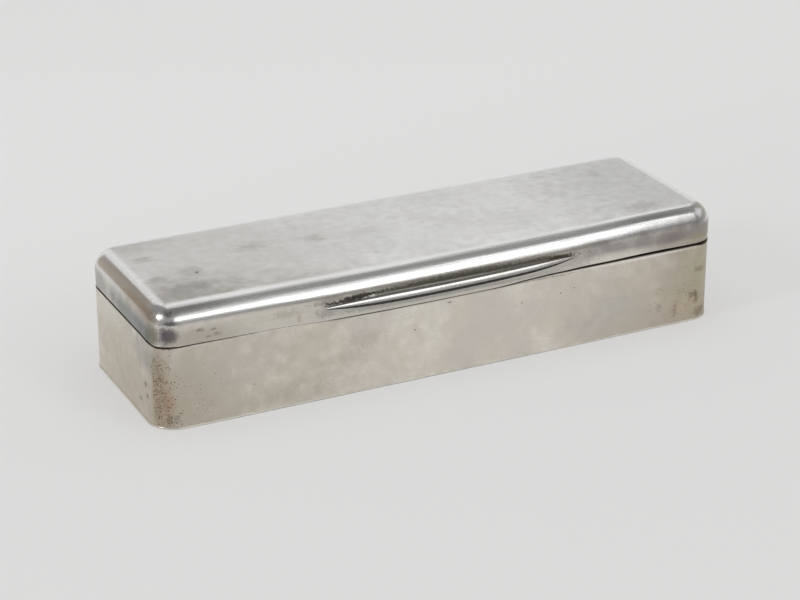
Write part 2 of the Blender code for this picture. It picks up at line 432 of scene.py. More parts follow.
@dataclass(frozen=True)
class SilverFinish:
    """Worn silver: clouded tone, fine scratches, stains and pits, with painted highlights, reflections and
    shade where its marks and its shape name them.

    Attributes:
        name: Name of the material.
        bright: Colour where the silver is clean.
        dull: Colour where it is tarnished.
        clouds: Share of the clouded tone, from 0 to 1.
        blush: Colour of the faint bloom that lies over it in patches.
        blush_share: Share of that bloom.
        flecks: Share of the fine flecks of tarnish.
        scratched: Share of the tarnish that lies in the fine scratches.
        rough: Roughness of the clean silver.
        rough_swing: How much the roughness changes from place to place.
        roughest: Roughness that no stain goes past.
        scratch_depth: Depth of the fine scratches, in metres.
        satin: Half sizes of the satin flat, outside which the silver is polished, in millimetres.
        polished: Colour of that polished edge.
        polished_rough: Roughness of that polished edge.
        flat_marks: Stains on the flat, which end where it is polished.
        marks: Stains, and painted highlights, reflections and shade, at their own places.
        pits: Fields of pits.
        shade_and_grime: Colour of the painted shade and dirt in the corners and under the parts that the
            shape names, if it has them.
        shade_and_grime_dulling: What that painted shade and dirt adds to the roughness.
    """

    name: str
    bright: Colour
    dull: Colour
    clouds: float
    blush: Colour = (0.66, 0.66, 0.645)
    blush_share: float = 0.3
    flecks: float = 0.1
    scratched: float = 0.16
    rough: float = 0.3
    rough_swing: float = 0.08
    roughest: float = 0.75
    scratch_depth: float = 0.00002
    satin: tuple[float, float] | None = None
    polished: Colour = (0.86, 0.86, 0.855)
    polished_rough: float = 0.23
    flat_marks: tuple[Mark, ...] = ()
    marks: tuple[Mark, ...] = ()
    pits: tuple[Pits, ...] = ()
    shade_and_grime: Colour | None = None
    shade_and_grime_dulling: float = 0.4

    def build(self) -> bpy.types.Material:
        """Make the material.

        Returns:
            The material, ready to be put on a piece.
        """
        graph = Graph(self.name, 1.0, self.rough, self.bright)
        broad = graph.cloud(per_mm=0.035, detail=3.0, wander=0.8)
        fine = graph.cloud(per_mm=0.3, detail=6.0, wander=0.3)
        ragged = graph.cloud(per_mm=0.22, detail=6.0)
        grit = graph.cloud(per_mm=1.4, detail=5.0)
        scratches = graph.cloud(per_mm=1.6, detail=3.0, stretch=(0.05, 1.0, 1.0))
        streaks = graph.cloud(per_mm=1.3, detail=3.0, stretch=(0.22, 1.0, 1.0), wander=0.2)
        bloom = graph.cloud(per_mm=0.05, detail=2.0, stretch=(1.0, 1.3, 0.8))
        fine_share = 0.32
        tone = graph.math("MULTIPLY_ADD", fine, fine_share, graph.math("MULTIPLY", broad, 1 - fine_share))
        graph.tint(graph.fade(tone, 0.39, 0.61, 0.0, self.clouds), self.dull)
        graph.tint(graph.fade(bloom, 0.4, 0.62, 0.0, self.blush_share), self.blush)
        swing = self.rough_swing
        rough = graph.fade(fine, 0.3, 0.7, self.rough - swing, self.rough + swing)
        graph.rough = graph.math("ADD", rough, graph.fade(scratches, 0.35, 0.65, -swing / 2, swing / 2))
        graph.tint(graph.fade(scratches, 0.32, 0.68, 0.0, self.scratched), self.dull)
        graph.tint(graph.fade(grit, 0.34, 0.66, 0.0, self.flecks), self.dull)
        graph.lay_stains_and_painted_light(self.flat_marks, streaks, ragged)
        if self.satin is not None:
            self.polish(graph)
        graph.lay_stains_and_painted_light(self.marks, grit, ragged)
        # Painted shade and dirt, at the places that the shape's darkening attribute names
        if self.shade_and_grime is not None:
            shade_and_dirt = graph.add("ShaderNodeAttribute", attribute_name="shade_and_grime").outputs["Fac"]
            cover = graph.math("MULTIPLY", shade_and_dirt, graph.fade(grit, 0.3, 0.6, 0.9, 1.0))
            graph.tint(cover, self.shade_and_grime)
            graph.rough = graph.math("MULTIPLY_ADD", cover, self.shade_and_grime_dulling, graph.rough)
        graph.relief(scratches, self.scratch_depth)
        for pits in self.pits:
            self.pitting(graph, pits, ragged)
        graph.rough = graph.math("MINIMUM", graph.rough, self.roughest)
        return graph.finish()

    def polish(self, graph: Graph) -> None:
        """Brighten the rolled edge round the satin flat of the lid, with the fine lines of the cloth.

        Args:
            graph: The material's graph.
        """
        x, y, _ = graph.split(graph.vector("ABSOLUTE", graph.place))
        half_x, half_y = self.satin
        past = graph.math("MAXIMUM", graph.math("SUBTRACT", x, half_x), graph.math("SUBTRACT", y, half_y))
        edge = graph.fade(past, -1.2, 0.8)
        lines = graph.cloud(per_mm=2.2, detail=2.0, stretch=(0.012, 1.0, 1.0))
        smooth = graph.fade(lines, 0.35, 0.65, self.polished_rough - 0.05, self.polished_rough + 0.05)
        graph.tint(graph.math("MULTIPLY", edge, graph.fade(lines, 0.25, 0.7, 1.0, 0.65)), self.polished)
        span = graph.math("SUBTRACT", smooth, graph.rough)
        graph.rough = graph.math("MULTIPLY_ADD", edge, span, graph.rough)

    def pitting(self, graph: Graph, pits: Pits, ragged: Source) -> None:
        """Lay fields of pits over the finish.

        Args:
            graph: The material's graph.
            pits: The pits.
            ragged: Noise for the outlines of the fields.
        """
        jitter = graph.add("ShaderNodeTexNoise")
        graph.plug(jitter.inputs["Vector"], graph.place)
        jitter.inputs["Scale"].default_value = 1.5 / pits.spacing
        shift = graph.vector("MULTIPLY", jitter.outputs["Color"], (pits.spacing * 0.9,) * 3)
        cells = graph.add("ShaderNodeTexVoronoi", feature="F1")
        graph.plug(cells.inputs["Vector"], graph.vector("ADD", shift, graph.place))
        cells.inputs["Scale"].default_value = 1 / pits.spacing
        lot = graph.add("ShaderNodeSeparateColor")
        graph.plug(lot.inputs[0], cells.outputs["Color"])
        density = graph.cover(pits.fields[0], ragged)
        for mark in pits.fields[1:]:
            density = graph.math("MAXIMUM", density, graph.cover(mark, ragged))
        chosen = graph.math("LESS_THAN", lot.outputs[0], density)
        width = graph.math("MULTIPLY_ADD", lot.outputs[1], pits.size * 0.8, pits.size * 0.5)
        depth = graph.fade(graph.math("DIVIDE", cells.outputs["Distance"], width), 1.0, 0.55)
        pit = graph.math("MULTIPLY", chosen, depth)
        graph.relief(graph.math("SUBTRACT", 1.0, pit), pits.depth * MM)
        graph.tint(graph.math("MULTIPLY", pit, 0.85), pits.colour)


@dataclass(frozen=True)
class CedarFinish:
    """Oiled cedar with straight grain, dark rings and open pores, and black painted shade on its outside, in
    the gap to the wall.

    Attributes:
        name: Name of the material.
        grain: Direction of the grain.
        seed: Shift along the log that gives each board its own figure.
        light: Colour of the early wood.
        dark: Colour of the late wood.
        rough: Roughness.
        gap_shade: Colour of the painted shade on the outside of the lining, in the gap to the wall.
        core: Half sizes of the block round which the lining's outside is rounded, in millimetres.
        outside: Distances from that block between which the painted shade turns the wood black, in
            millimetres.
    """

    name: str
    grain: Grain
    seed: float
    light: Colour = (0.46, 0.25, 0.13)
    dark: Colour = (0.26, 0.115, 0.055)
    rough: float = 0.52
    gap_shade: Colour = (0.012, 0.009, 0.007)
    core: Point = (91.0, 22.0, 100.0)
    outside: tuple[float, float] = (7.25, 7.6)

    def build(self) -> bpy.types.Material:
        """Make the material.

        Returns:
            The material, ready to be put on a board.
        """
        graph = Graph(self.name, 0.0, self.rough, self.light, specular=0.35)
        past = graph.vector("SUBTRACT", graph.vector("ABSOLUTE", graph.place), self.core)
        outward = graph.vector("LENGTH", graph.vector("MAXIMUM", past))
        strides = (31.0, 17.0, 23.0)
        graph.place = graph.vector("ADD", graph.place, tuple(self.seed * stride for stride in strides))
        figure = graph.cloud(per_mm=0.28, detail=2.0, stretch=self.grain.value, wander=0.8)
        late = graph.fade(graph.math("FRACT", graph.math("MULTIPLY", figure, 7.0), 0.0), 0.35, 0.95)
        pores = graph.fade(graph.cloud(per_mm=4.5, detail=2.0, stretch=self.grain.value), 0.62, 0.72)
        flecks = graph.cloud(per_mm=0.9, detail=3.0, stretch=self.grain.value)
        graph.tint(graph.math("MULTIPLY", late, 0.65), self.dark)
        graph.tint(graph.fade(flecks, 0.3, 0.75, 0.0, 0.35), self.dark)
        graph.tint(graph.math("MULTIPLY", pores, 0.5), self.dark)
        # Painted shade: the outside of the lining, in the narrow gap to the wall, turns black
        graph.tint(graph.fade(outward, *self.outside), self.gap_shade)
        graph.rough = graph.fade(flecks, 0.2, 0.8, self.rough - 0.06, self.rough + 0.1)
        graph.relief(graph.math("SUBTRACT", 1.0, pores), 0.00006)
        graph.relief(late, 0.00003)
        return graph.finish()


class Shape:
    """Gathers the points and faces of one piece and puts it into the scene."""

    def __init__(self, name: str) -> None:
        """Start an empty shape with the name of its piece."""
        self.name = name
        self.mesh = bmesh.new()
        # Darkening at each point, which the material lays on as painted shade and dirt
        self.shade_and_grime: list[float] = []

    def loft(self, rings: Sequence[Sequence[Point]], closed_path: bool = False) -> Shape:
        """Skin a run of closed rings with quads.

        Args:
            rings: Rings with the same number of points each.
            closed_path: Whether the last ring joins the first one.

        Returns:
            The shape itself.
        """
        loops = [[self.mesh.verts.new(point) for point in ring] for ring in rings]
        pairs = list(zip(loops, loops[1:]))
        if closed_path:
            pairs.append((loops[-1], loops[0]))
        for lower, upper in pairs:
            for index in range(len(lower)):
                after = (index + 1) % len(lower)
                self.mesh.faces.new((lower[index], lower[after], upper[after], upper[index]))
        self.ends = (loops[0], loops[-1])
        return self

    def cap(self) -> Shape:
        """Close the first and the last ring with one face each."""
        self.mesh.faces.new(list(reversed(self.ends[0])))
        self.mesh.faces.new(self.ends[1])
        return self

    def place(
        self, finish: bpy.types.Material, body: Body, slot: Slot, stands_for: str, sharp: float = 40.0
    ) -> None:
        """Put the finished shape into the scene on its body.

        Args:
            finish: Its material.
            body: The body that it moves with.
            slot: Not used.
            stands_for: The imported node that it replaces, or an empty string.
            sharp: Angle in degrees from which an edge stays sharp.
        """
        bmesh.ops.recalc_face_normals(self.mesh, faces=self.mesh.faces)
        data = bpy.data.meshes.new(self.name)
        self.mesh.to_mesh(data)
        self.mesh.free()
        if self.shade_and_grime:
            layer = data.attributes.new("shade_and_grime", "FLOAT", "POINT")
            layer.data.foreach_set("value", self.shade_and_grime)
        data.shade_smooth()
        data.set_sharp_from_angle(angle=math.radians(sharp))
        data.materials.append(finish)
        piece = add_object(self.name, data)
        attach(piece, body.value)
        if stands_for:
            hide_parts(stands_for)


@dataclass
class BoxPlan:
    """The rounded rectangle that all sheet pieces follow, as stations that run round it.

    Attributes:
        half_x: Half the length outside.
        half_y: Half the width outside.
        corner: Radius of the corners outside.
        slot_half: Half the length of the slot for the hinge.
        slot_reach: How far in from the back the slot reaches.
        corner_steps: Stations round one corner.
        side_steps: Stations along a long side and along an end.
        lean: How far the left end leans in at the rim.
        lean_height: Height over which it leans.
    """

    half_x: float
    half_y: float
    corner: float
    slot_half: float
    slot_reach: float = 0.004
    corner_steps: int = 22
    side_steps: tuple[int, int] = (130, 30)
    lean: float = 0.00035
    lean_height: float = 0.028

    def leaned(self, rings: Sequence[Sequence[Point]], share: float = 1.0) -> list[Ring]:
        """Lean the left end of finished rings in.

        Args:
            rings: Rings of points, one for each station.
            share: Share of the lean that they take.

        Returns:
            The leaning rings.
        """
        reach = [share * self.lean * max(-out_x, 0.0) for _, _, out_x, _ in self.ring(0)]
        leaning = []
        for ring in rings:
            moved = [(x + far * clamp(z / self.lean_height), y, z) for (x, y, z), far in zip(ring, reach)]
            leaning.append(moved)
        return leaning

    def stations(self) -> Iterator[tuple[int, float, float]]:
        """Run round the plan from the back right corner.

        Yields:
            The corner that a station belongs to, its angle there, and its share along the side after it.
        """
        jump = 1e-5
        straight = 2 * (self.half_x - self.corner)
        slot = (straight / 2 - self.slot_half) / straight
        for corner in range(4):
            for step in range(self.corner_steps):
                yield corner, (corner + step / self.corner_steps) * math.pi / 2, 0.0
            steps = self.side_steps[corner % 2]
            shares = [step / steps for step in range(steps)]
            if corner == 0:
                shares += [slot - jump, slot + jump, 1 - slot - jump, 1 - slot + jump]
            for share in sorted(shares):
                yield corner, (corner + 1) * math.pi / 2, share

    def ring(self, inset: float) -> list[tuple[float, float, float, float]]:
        """The plan drawn in by an inset.

        Args:
            inset: Distance in from the outside.

        Returns:
            A list of (x, y, outward x, outward y).
        """
        least = 0.0004
        half_x, half_y = self.half_x - inset, self.half_y - inset
        radius = min(max(self.corner - inset, least), half_y)
        signs = ((1, 1), (-1, 1), (-1, -1), (1, -1))
        centres = [(sign_x * (half_x - radius), sign_y * (half_y - radius)) for sign_x, sign_y in signs]
        points = []
        for corner, angle, share in self.stations():
            x0, y0 = centres[corner]
            x1, y1 = centres[(corner + 1) % 4]
            out_x, out_y = math.cos(angle), math.sin(angle)
            x, y = x0 + (x1 - x0) * share, y0 + (y1 - y0) * share
            points.append((x + radius * out_x, y + radius * out_y, out_x, out_y))
        return points

    def in_slot(self, x: float, y: float) -> bool:
        """Whether a place on the plan lies in the slot for the hinge."""
        return y > self.half_y - self.slot_reach and abs(x) < self.slot_half


@dataclass
class PartingLine:
    """The line where lid and base meet. The front has sagged, and the lid springs open to the right.

    Attributes:
        level: Height of the rim where it is true.
        rim_dip: How far the rim hangs below that along the front, as (place, dip) in millimetres.
        foot_dip: The same for the foot of the lid.
        gap: Least space between the two.
        end_gap: How much wider it is at the ends.
        front_zone: How far before the middle the front begins, and the width of its onset, in millimetres.
        end_zone: The same for the ends, to either side of the middle.
    """

    level: float
    rim_dip: Pairs = (
        (-99.8, 0.8), (-98.8, 1.2), (-97.2, 0.95), (-94, 0.68), (-88, 0.48), (-80, 0.62), (-70, 0.7),
        (-57, 0.95), (-47, 1.45), (-34, 1.68), (-19, 1.9), (10, 1.98), (18, 1.95), (28, 1.38), (36, 1.12),
        (48, 0.97), (60, 0.92), (72, 0.84), (84, 0.84), (91, 0.78), (95, 1.2), (98, 1.22), (99.6, 0.8),
    )
    foot_dip: Pairs = (
        (-99.8, 0.76), (-98.8, 1.16), (-97.2, 0.9), (-94, 0.64), (-88, 0.44), (-80, 0.6), (-70, 0.7),
        (-57, 0.95), (-47, 1.45), (-34, 1.68), (-19, 1.9), (10, 1.94), (18, 1.8), (28, 1.13), (36, 0.82),
        (42, 0.7), (48, 0.46), (60, 0.38), (66, 0.2), (78, 0.08), (84, 0.15), (91, 0.25), (95, 0.45),
        (98, 0.6), (99.6, 0.5),
    )
    gap: float = 0.00006
    end_gap: float = 0.0003
    front_zone: tuple[float, float] = (18, 12)
    end_zone: tuple[float, float] = (88, 9)

    def front_share(self, y: float) -> float:
        """How far a place belongs to the front, from 0 at the back to 1."""
        start, width = self.front_zone
        return ease((-y / MM - start) / width)

    def rim(self, x: float, y: float) -> float:
        """Height of the base's rim at a place on the plan."""
        return self.level - follow(self.rim_dip, x / MM) * self.front_share(y) * MM

    def foot(self, x: float, y: float) -> float:
        """Height of the lid's foot at a place on the plan."""
        start, width = self.end_zone
        open_end = self.end_gap * ease((abs(x) / MM - start) / width)
        return self.level + self.gap + open_end - follow(self.foot_dip, x / MM) * self.front_share(y) * MM


@dataclass
class Base:
    """The base: a wall of sheet standing on a soldered plate.

    Attributes:
        plan: The plan of the wall.
        parting: The line where it meets the lid.
        thickness: Thickness of the wall.
        plate: Thickness of the plate.
        ledge: How far the plate stands out beyond the wall.
        slot_level: Height of the floor of the slot for the hinge.
        wall_finish: Finish of the wall.
        plate_finish: Finish of the plate.
        rim_round: Radius at the edges of the rim.
        buckle: How far the wall wanders in from true.
        shoulder: Height of the slope along the upper edge of the plate.
        inner_lean: Share of the lean that the wall's inside takes.
        rim_shade_and_dirt: How dark the edge of the rim is with painted shade of the parting gap and dirt, as
            (place in millimetres, share).
        rim_depth: How that painted shade and dirt thins out over the rim, as (steps from its outer edge,
            share).
        foot_shadow: How dark the painted shadow along the lower edge of the plate is, as (place in
            millimetres, share).
    """

    plan: BoxPlan
    parting: PartingLine
    thickness: float
    plate: float
    ledge: float
    slot_level: float
    wall_finish: SilverFinish
    plate_finish: SilverFinish
    rim_round: float = 0.00014
    buckle: float = 0.00009
    shoulder: float = 0.0006
    inner_lean: float = 0.6
    rim_shade_and_dirt: Pairs = (
        (-99, 1.0), (-88, 1.0), (-75, 0.6), (-62, 0.0), (-45, 0.0), (-38, 0.9), (-12, 0.9), (8, 0.4),
        (20, 0.3), (30, 0.6), (85, 0.9), (93, 1.0), (99, 1.0),
    )
    rim_depth: Pairs = ((-1, 0.0), (0, 0.6), (1, 1.0), (3, 1.0), (4, 0.75), (5, 0.25), (9, 0.15))
    foot_shadow: Pairs = (
        (-99, 0.2), (-85, 0.35), (-70, 0.9), (20, 0.9), (50, 0.6), (75, 0.3), (99, 0.2),
    )

    def build_wall(self) -> None:
        """Bend the wall round the plan."""
        steps = 17
        near_rim = [0.972, 0.986, 1.0]
        outside = [step / steps for step in range(steps)] + near_rim
        steps = 6
        inside = [1 - step / steps for step in range(steps + 1)]
        arc = self.rim_arc()
        plan = self.plan.ring(0)
        columns = []
        for x, y, out_x, out_y in plan:
            rim = self.slot_level if self.plan.in_slot(x, y) else self.parting.rim(x, y)
            top = rim - self.rim_round
            column = []
            for share in outside:
                z = self.plate + (top - self.plate) * share
                sway = self.wander(x, y, z)
                column.append((x - out_x * sway, y - out_y * sway, z))
            for inset, up in arc:
                column.append((x - out_x * inset, y - out_y * inset, top + up))
            for share in inside:
                z = self.plate + (top - self.plate) * share
                column.append((x - out_x * self.thickness, y - out_y * self.thickness, z))
            columns.append(column)
        rings = list(zip(*columns))
        edge = len(outside) - 1
        turn = len(outside) + len(arc) // 2
        rings = self.plan.leaned(rings[:turn]) + self.plan.leaned(rings[turn:], self.inner_lean)
        shape = Shape("wall_sheet").loft(rings, closed_path=True)
        # The rings of the rim take painted shade of the parting gap, with dirt
        for level in range(len(rings)):
            depth = follow(self.rim_depth, level - edge)
            shape.shade_and_grime += [depth * follow(self.rim_shade_and_dirt, x / MM) for x, _, _, _ in plan]
        shape.place(self.wall_finish.build(), Body.BASE, Slot.SILVER, "wall_band")

    def wander(self, x: float, y: float, z: float) -> float:
        """How far the outside of the wall lies in from true at a place."""
        slow = ripple(x, y, z, wavelength=0.045, seed=3.0)
        quick = ripple(x, y, z, wavelength=0.012, seed=8.0)
        slow_share, quick_share = 0.42, 0.08
        return self.buckle * (0.5 + slow_share * slow + quick_share * quick)

    def rim_arc(self) -> list[tuple[float, float]]:
        """Round the two edges of the rim over.

        Returns:
            Points from outside to inside, as (distance in, distance up) from where the rounding starts.
        """
        arc = quarter(4)
        outer = [(self.rim_round * (1 - cos), self.rim_round * sin) for sin, cos in arc[1:]]
        inner = [(self.thickness - self.rim_round * (1 - sin), self.rim_round * cos) for sin, cos in arc[:-1]]
        return outer + inner

    def build_plate(self) -> None:
        """Cut the bottom plate, its lower edge worn and its upper edge sloped off to the wall."""
        worn = self.plate * 0.3
        # The third value of each level is 1 where the painted shadow along the floor lies
        levels = [(worn * (1 - sin) - self.ledge, worn * (1 - cos), 1.0) for sin, cos in quarter(4)]
        slope = quarter(8)
        levels += [(-self.ledge * cos, self.plate - self.shoulder * (1 - sin), 0.0) for sin, cos in slope]
        shape = Shape("bottom_plate")
        rings = []
        for inset, z, darkening in levels:
            rings.append([(x, y, z) for x, y, _, _ in self.plan.ring(inset)])
            shape.shade_and_grime += [darkening * follow(self.foot_shadow, x / MM) for x, _, _ in rings[-1]]
        shape.loft(rings).cap().place(self.plate_finish.build(), Body.BASE, Slot.SILVER, "base_plate")


@dataclass
class Lid:
    """The lid: a raised shell with a rolled edge, gilt inside.

    Attributes:
        plan: The plan of the lid.
        parting: The line where it meets the base.
        top: Height of the flat.
        edge: Radius of the rolled edge.
        thickness: Thickness of the sheet.
        slot_level: Height of the roof of the slot for the hinge.
        finish: Finish of the outside.
        gilding_finish: Finish of the gilding.
        dip: How far the front edge has sagged, as (place, dip) in millimetres.
        shoulder: How far the flat falls away towards the rolled edge.
        shoulder_reach: How far in the fall starts.
        wear: How deep the flat is worn.
        sway_depth: How far the skirt wanders in from true.
        dent_place: Middle of the shallow dent in the flat.
        dent_reach: Half its length and width.
        dent_depth: Its depth.
        foot_round: Radius at the edges of the foot.
        inner_lip: How far above the foot the inside starts.
        gilding: Thickness of the gilding.
        gilding_edge: How far above the foot it ends.
        edge_steps: Steps round the rolled edge.
        flat_shares: Insets of the rings on the flat, as shares of half the width.
        roof_shares: The same under the flat.
    """

    plan: BoxPlan
    parting: PartingLine
    top: float
    edge: float
    thickness: float
    slot_level: float
    finish: SilverFinish
    gilding_finish: SilverFinish
    dip: Pairs = (
        (-99, 0.0), (-84, 0.12), (-65, 0.38), (-48, 0.8), (-30, 1.05), (-5, 1.2), (20, 1.2), (38, 1.1),
        (53, 0.68), (70, 0.15), (84, 0.0),
    )
    shoulder: float = 0.00022
    shoulder_reach: float = 0.011
    wear: float = 0.00003
    sway_depth: float = 0.00005
    dent_place: tuple[float, float] = (-0.0146, 0.0035)
    dent_reach: tuple[float, float] = (0.007, 0.0035)
    dent_depth: float = 0.0001
    foot_round: float = 0.00014
    inner_lip: float = 0.0002
    gilding: float = 0.00006
    gilding_edge: float = 0.0009
    edge_steps: int = 22
    flat_shares: tuple[float, ...] = (
        0.985, 0.95, 0.88, 0.8, 0.72, 0.64, 0.56, 0.48, 0.42, 0.37, 0.33, 0.3, 0.27, 0.245, 0.225,
    )
    roof_shares: tuple[float, ...] = (0.3, 0.5, 0.75, 0.985)

    def foot_level(self, x: float, y: float) -> float:
        """Height of the foot, higher in the slot for the hinge."""
        return self.slot_level if self.plan.in_slot(x, y) else self.parting.foot(x, y)

    def sunk(self, x: float, y: float, inset: float) -> float:
        """How far a place of the outside lies below the true shape.

        Args:
            x: Place along the box.
            y: Place across the box.
            inset: Distance in from the outside of the plan.

        Returns:
            The depth, never below zero.
        """
        bow = follow(self.dip, x / MM) * MM * self.parting.front_share(y)
        fall = self.shoulder * (1 - clamp(inset / self.shoulder_reach)) ** 2
        worn = self.wear * (1 + ripple(x, y, 0.0, wavelength=0.03, seed=5.0)) * clamp(inset / self.edge)
        (mid_x, mid_y), (long, wide) = self.dent_place, self.dent_reach
        dent = self.dent_depth * ease(1 - math.hypot((x - mid_x) / long, (y - mid_y) / wide))
        return bow + fall + worn + dent

    def sway(self, x: float, y: float, z: float) -> float:
        """How far the skirt lies in from true at a place."""
        return self.sway_depth * (1 + ripple(x, y, z, wavelength=0.03, seed=12.0))

    def sunk_ring(self, inset: float, z: float) -> Ring:
        """One ring of the raised sheet, sunk with its outside."""
        return [(x, y, z - self.sunk(x, y, inset)) for x, y, _, _ in self.plan.ring(inset)]

    def outer_rings(self) -> list[Ring]:
        """The outside from the middle of the flat to the foot.

        Returns:
            Rings of points from the innermost one outwards and down.
        """
        rings = [self.sunk_ring(self.plan.half_y * share, self.top) for share in self.flat_shares]
        for sin, cos in quarter(self.edge_steps):
            rings.append(self.sunk_ring(self.edge * (1 - sin), self.top - self.edge * (1 - cos)))
        steps = 8
        for step in range(1, steps + 1):
            ring = []
            for x, y, out_x, out_y in self.plan.ring(0):
                low = self.foot_level(x, y) + self.foot_round
                high = self.top - self.edge - self.sunk(x, y, 0.0)
                z = high + (low - high) * step / steps
                sway = self.sway(x, y, z) * ease(step / 2)
                ring.append((x - out_x * sway, y - out_y * sway, z))
            rings.append(ring)
        return rings

    def foot_rings(self) -> list[Ring]:
        """The foot of the sheet, its two edges rounded over.

        Returns:
            Rings of points from the outside to the inside.
        """
        worn = self.foot_round
        outer = [(0.0, worn * 0.5), (worn * 0.3, worn * 0.15), (worn, 0.0)]
        inner = [(self.thickness - worn, 0.0), (self.thickness - worn * 0.3, worn * 0.15)]
        rings = []
        for inset, rise in outer + inner:
            ring = []
            for x, y, out_x, out_y in self.plan.ring(inset):
                level = self.foot_level(x, y)
                sway = self.sway(x, y, level) if inset <= worn else 0.0
                ring.append((x - out_x * sway, y - out_y * sway, level + rise))
            rings.append(ring)
        return rings

    def inner_rings(self, extra: float, lip: float) -> list[Ring]:
        """The inside from the foot to the middle of its roof.

        Args:
            extra: Distance inwards from the sheet.
            lip: How far above the foot it starts.

        Returns:
            Rings of points from the foot upwards and in.
        """
        wall = self.thickness + extra
        radius = self.edge - wall
        roof = self.top - wall
        steps = 3
        rings = []
        for step in range(steps + 1):
            ring = []
            for x, y, _, _ in self.plan.ring(wall):
                low = self.foot_level(x, y) + lip
                high = roof - radius - self.sunk(x, y, 0.0)
                ring.append((x, y, low + (high - low) * step / steps))
            rings.append(ring)
        for sin, cos in quarter(12)[1:]:
            rings.append(self.sunk_ring(wall + radius * (1 - cos), roof - radius * (1 - sin)))
        return rings + [self.sunk_ring(self.plan.half_y * share, roof) for share in self.roof_shares]

    def build_shell(self) -> None:
        """Raise the shell."""
        rings = self.outer_rings() + self.foot_rings() + self.inner_rings(0.0, self.inner_lip)
        shape = Shape("lid_raised").loft(self.plan.leaned(rings)).cap()
        shape.place(self.finish.build(), Body.LID, Slot.SILVER, "lid_shell")

    def build_gilding(self) -> None:
        """Gild the inside with a thin layer."""
        clear = 0.00001
        rings = list(reversed(self.inner_rings(clear, self.gilding_edge)))
        rings += self.inner_rings(self.gilding, self.gilding_edge)
        shape = Shape("lid_gilding").loft(self.plan.leaned(rings)).cap()
        shape.place(self.gilding_finish.build(), Body.LID, Slot.GILT, "")


@dataclass
class ThumbPiece:
    """The slender bar on the front of the lid, its upper face flattened and its ends drawn out.

    Attributes:
        front: Place of the lid's front.
        line: Its middle line from tip to tip, as (place, height) in millimetres.
        height: Its height in the middle.
        finish: Finish of the bar.
        solder_finish: Finish of the lump of solder.
        seat: How far its back is let into the lid.
        taper: How late the left and the right end thin out, as powers.
        arcs: Its section from the upper seam to the lower one, as (slope at the start, slope at the end,
            radius, darkening at the start, darkening at the end), slopes in degrees above level; the
            darkening is dirt in the upper seam and painted shade on the underside.
        solder_place: Where the lump of solder sits along the box, and how high.
        solder_size: Half sizes of that lump.
    """

    front: float
    line: Pairs
    height: float
    finish: SilverFinish
    solder_finish: SilverFinish
    seat: float = 0.0003
    taper: tuple[float, float] = (4.2, 5.5)
    arcs: tuple[tuple[float, float, float, float, float], ...] = (
        (0, 76, 0.35, 0.95, 0.6),
        (76, 31, 0.7, 0.6, 0.0),
        (31, 16, 5.4, 0.0, 0.0),
        # The arcs from here down are the underside, darkened with painted shade
        (16, 4, 0.8, 0.6, 1.0),
        (4, -84, 1.15, 1.0, 1.0),
        (-84, 0, 0.3, 1.0, 1.0),
    )
    solder_place: tuple[float, float] = (-0.0277, 0.0322)
    solder_size: Point = (0.0011, 0.00045, 0.00055)

    def section(self) -> list[tuple[float, float, float]]:
        """Draw the cross-section at its full size.

        Returns:
            A list of (distance out, distance down, darkening by dirt and painted shade) that starts at the
            upper seam.
        """
        steps = 8
        out = down = 0.0
        points = [(0.0, 0.0, self.arcs[0][3])]
        for start, end, radius, clean, darkening in self.arcs:
            stride = abs(math.radians(end - start)) * radius / steps
            for step in range(steps):
                slope = math.radians(start + (end - start) * (step + 0.5) / steps)
                out += math.sin(slope) * stride
                down += math.cos(slope) * stride
                points.append((out, down, clean + (darkening - clean) * (step + 1) / steps))
        scale = self.height / down
        return [(out * scale, down * scale, shade_and_dirt) for out, down, shade_and_dirt in points]

    def swell(self, share: float) -> float:
        """Thickness of the bar along its length, as a share of the thickest."""
        along = 2 * share - 1
        tip, fullness = 0.03, 0.92
        return tip + (1 - tip) * (1 - abs(along) ** self.taper[along > 0]) ** fullness

    def build_bar(self) -> None:
        """Draw the bar out along its line."""
        steps = 120
        clear = 0.00001
        section = self.section()
        seat = self.front + self.seat
        left, right = self.line[0][0], self.line[-1][0]
        shape = Shape("thumb_bar")
        rings = []
        for station in range(steps + 1):
            share = station / steps
            x = left + (right - left) * share
            size = self.swell(share)
            top = (follow(self.line, x) + self.height / MM / 2 * size) * MM
            ring = [(x * MM, self.front - clear - out * size, top - down * size) for out, down, _ in section]
            rings.append([(x * MM, seat, top), *ring, (x * MM, seat, top - self.height * size)])
            # The seat's upper point takes no darkening and its lower point full painted shade
            shape.shade_and_grime += [0.0, *(shade_and_dirt for _, _, shade_and_dirt in section), 1.0]
        shape.loft(rings).cap().place(self.finish.build(), Body.LID, Slot.SILVER, "thumb_piece", sharp=75.0)

    def build_solder(self) -> None:
        """Leave the lump of solder that sits on the upper seam."""
        along, level = self.solder_place
        centre = Vector((along, self.front, level))
        shape = Shape("solder_lump")
        unevenness, pattern, start = 0.28, 1.7, Vector((4.0, 1.0, 2.0))
        bmesh.ops.create_icosphere(shape.mesh, subdivisions=4, radius=1.0)
        for vertex in shape.mesh.verts:
            lump = 1 + unevenness * noise.noise(vertex.co * pattern + start)
            vertex.co = centre + Vector(a * b * lump for a, b in zip(vertex.co, self.solder_size))
        shape.place(self.solder_finish.build(), Body.LID, Slot.SILVER, "", sharp=80.0)


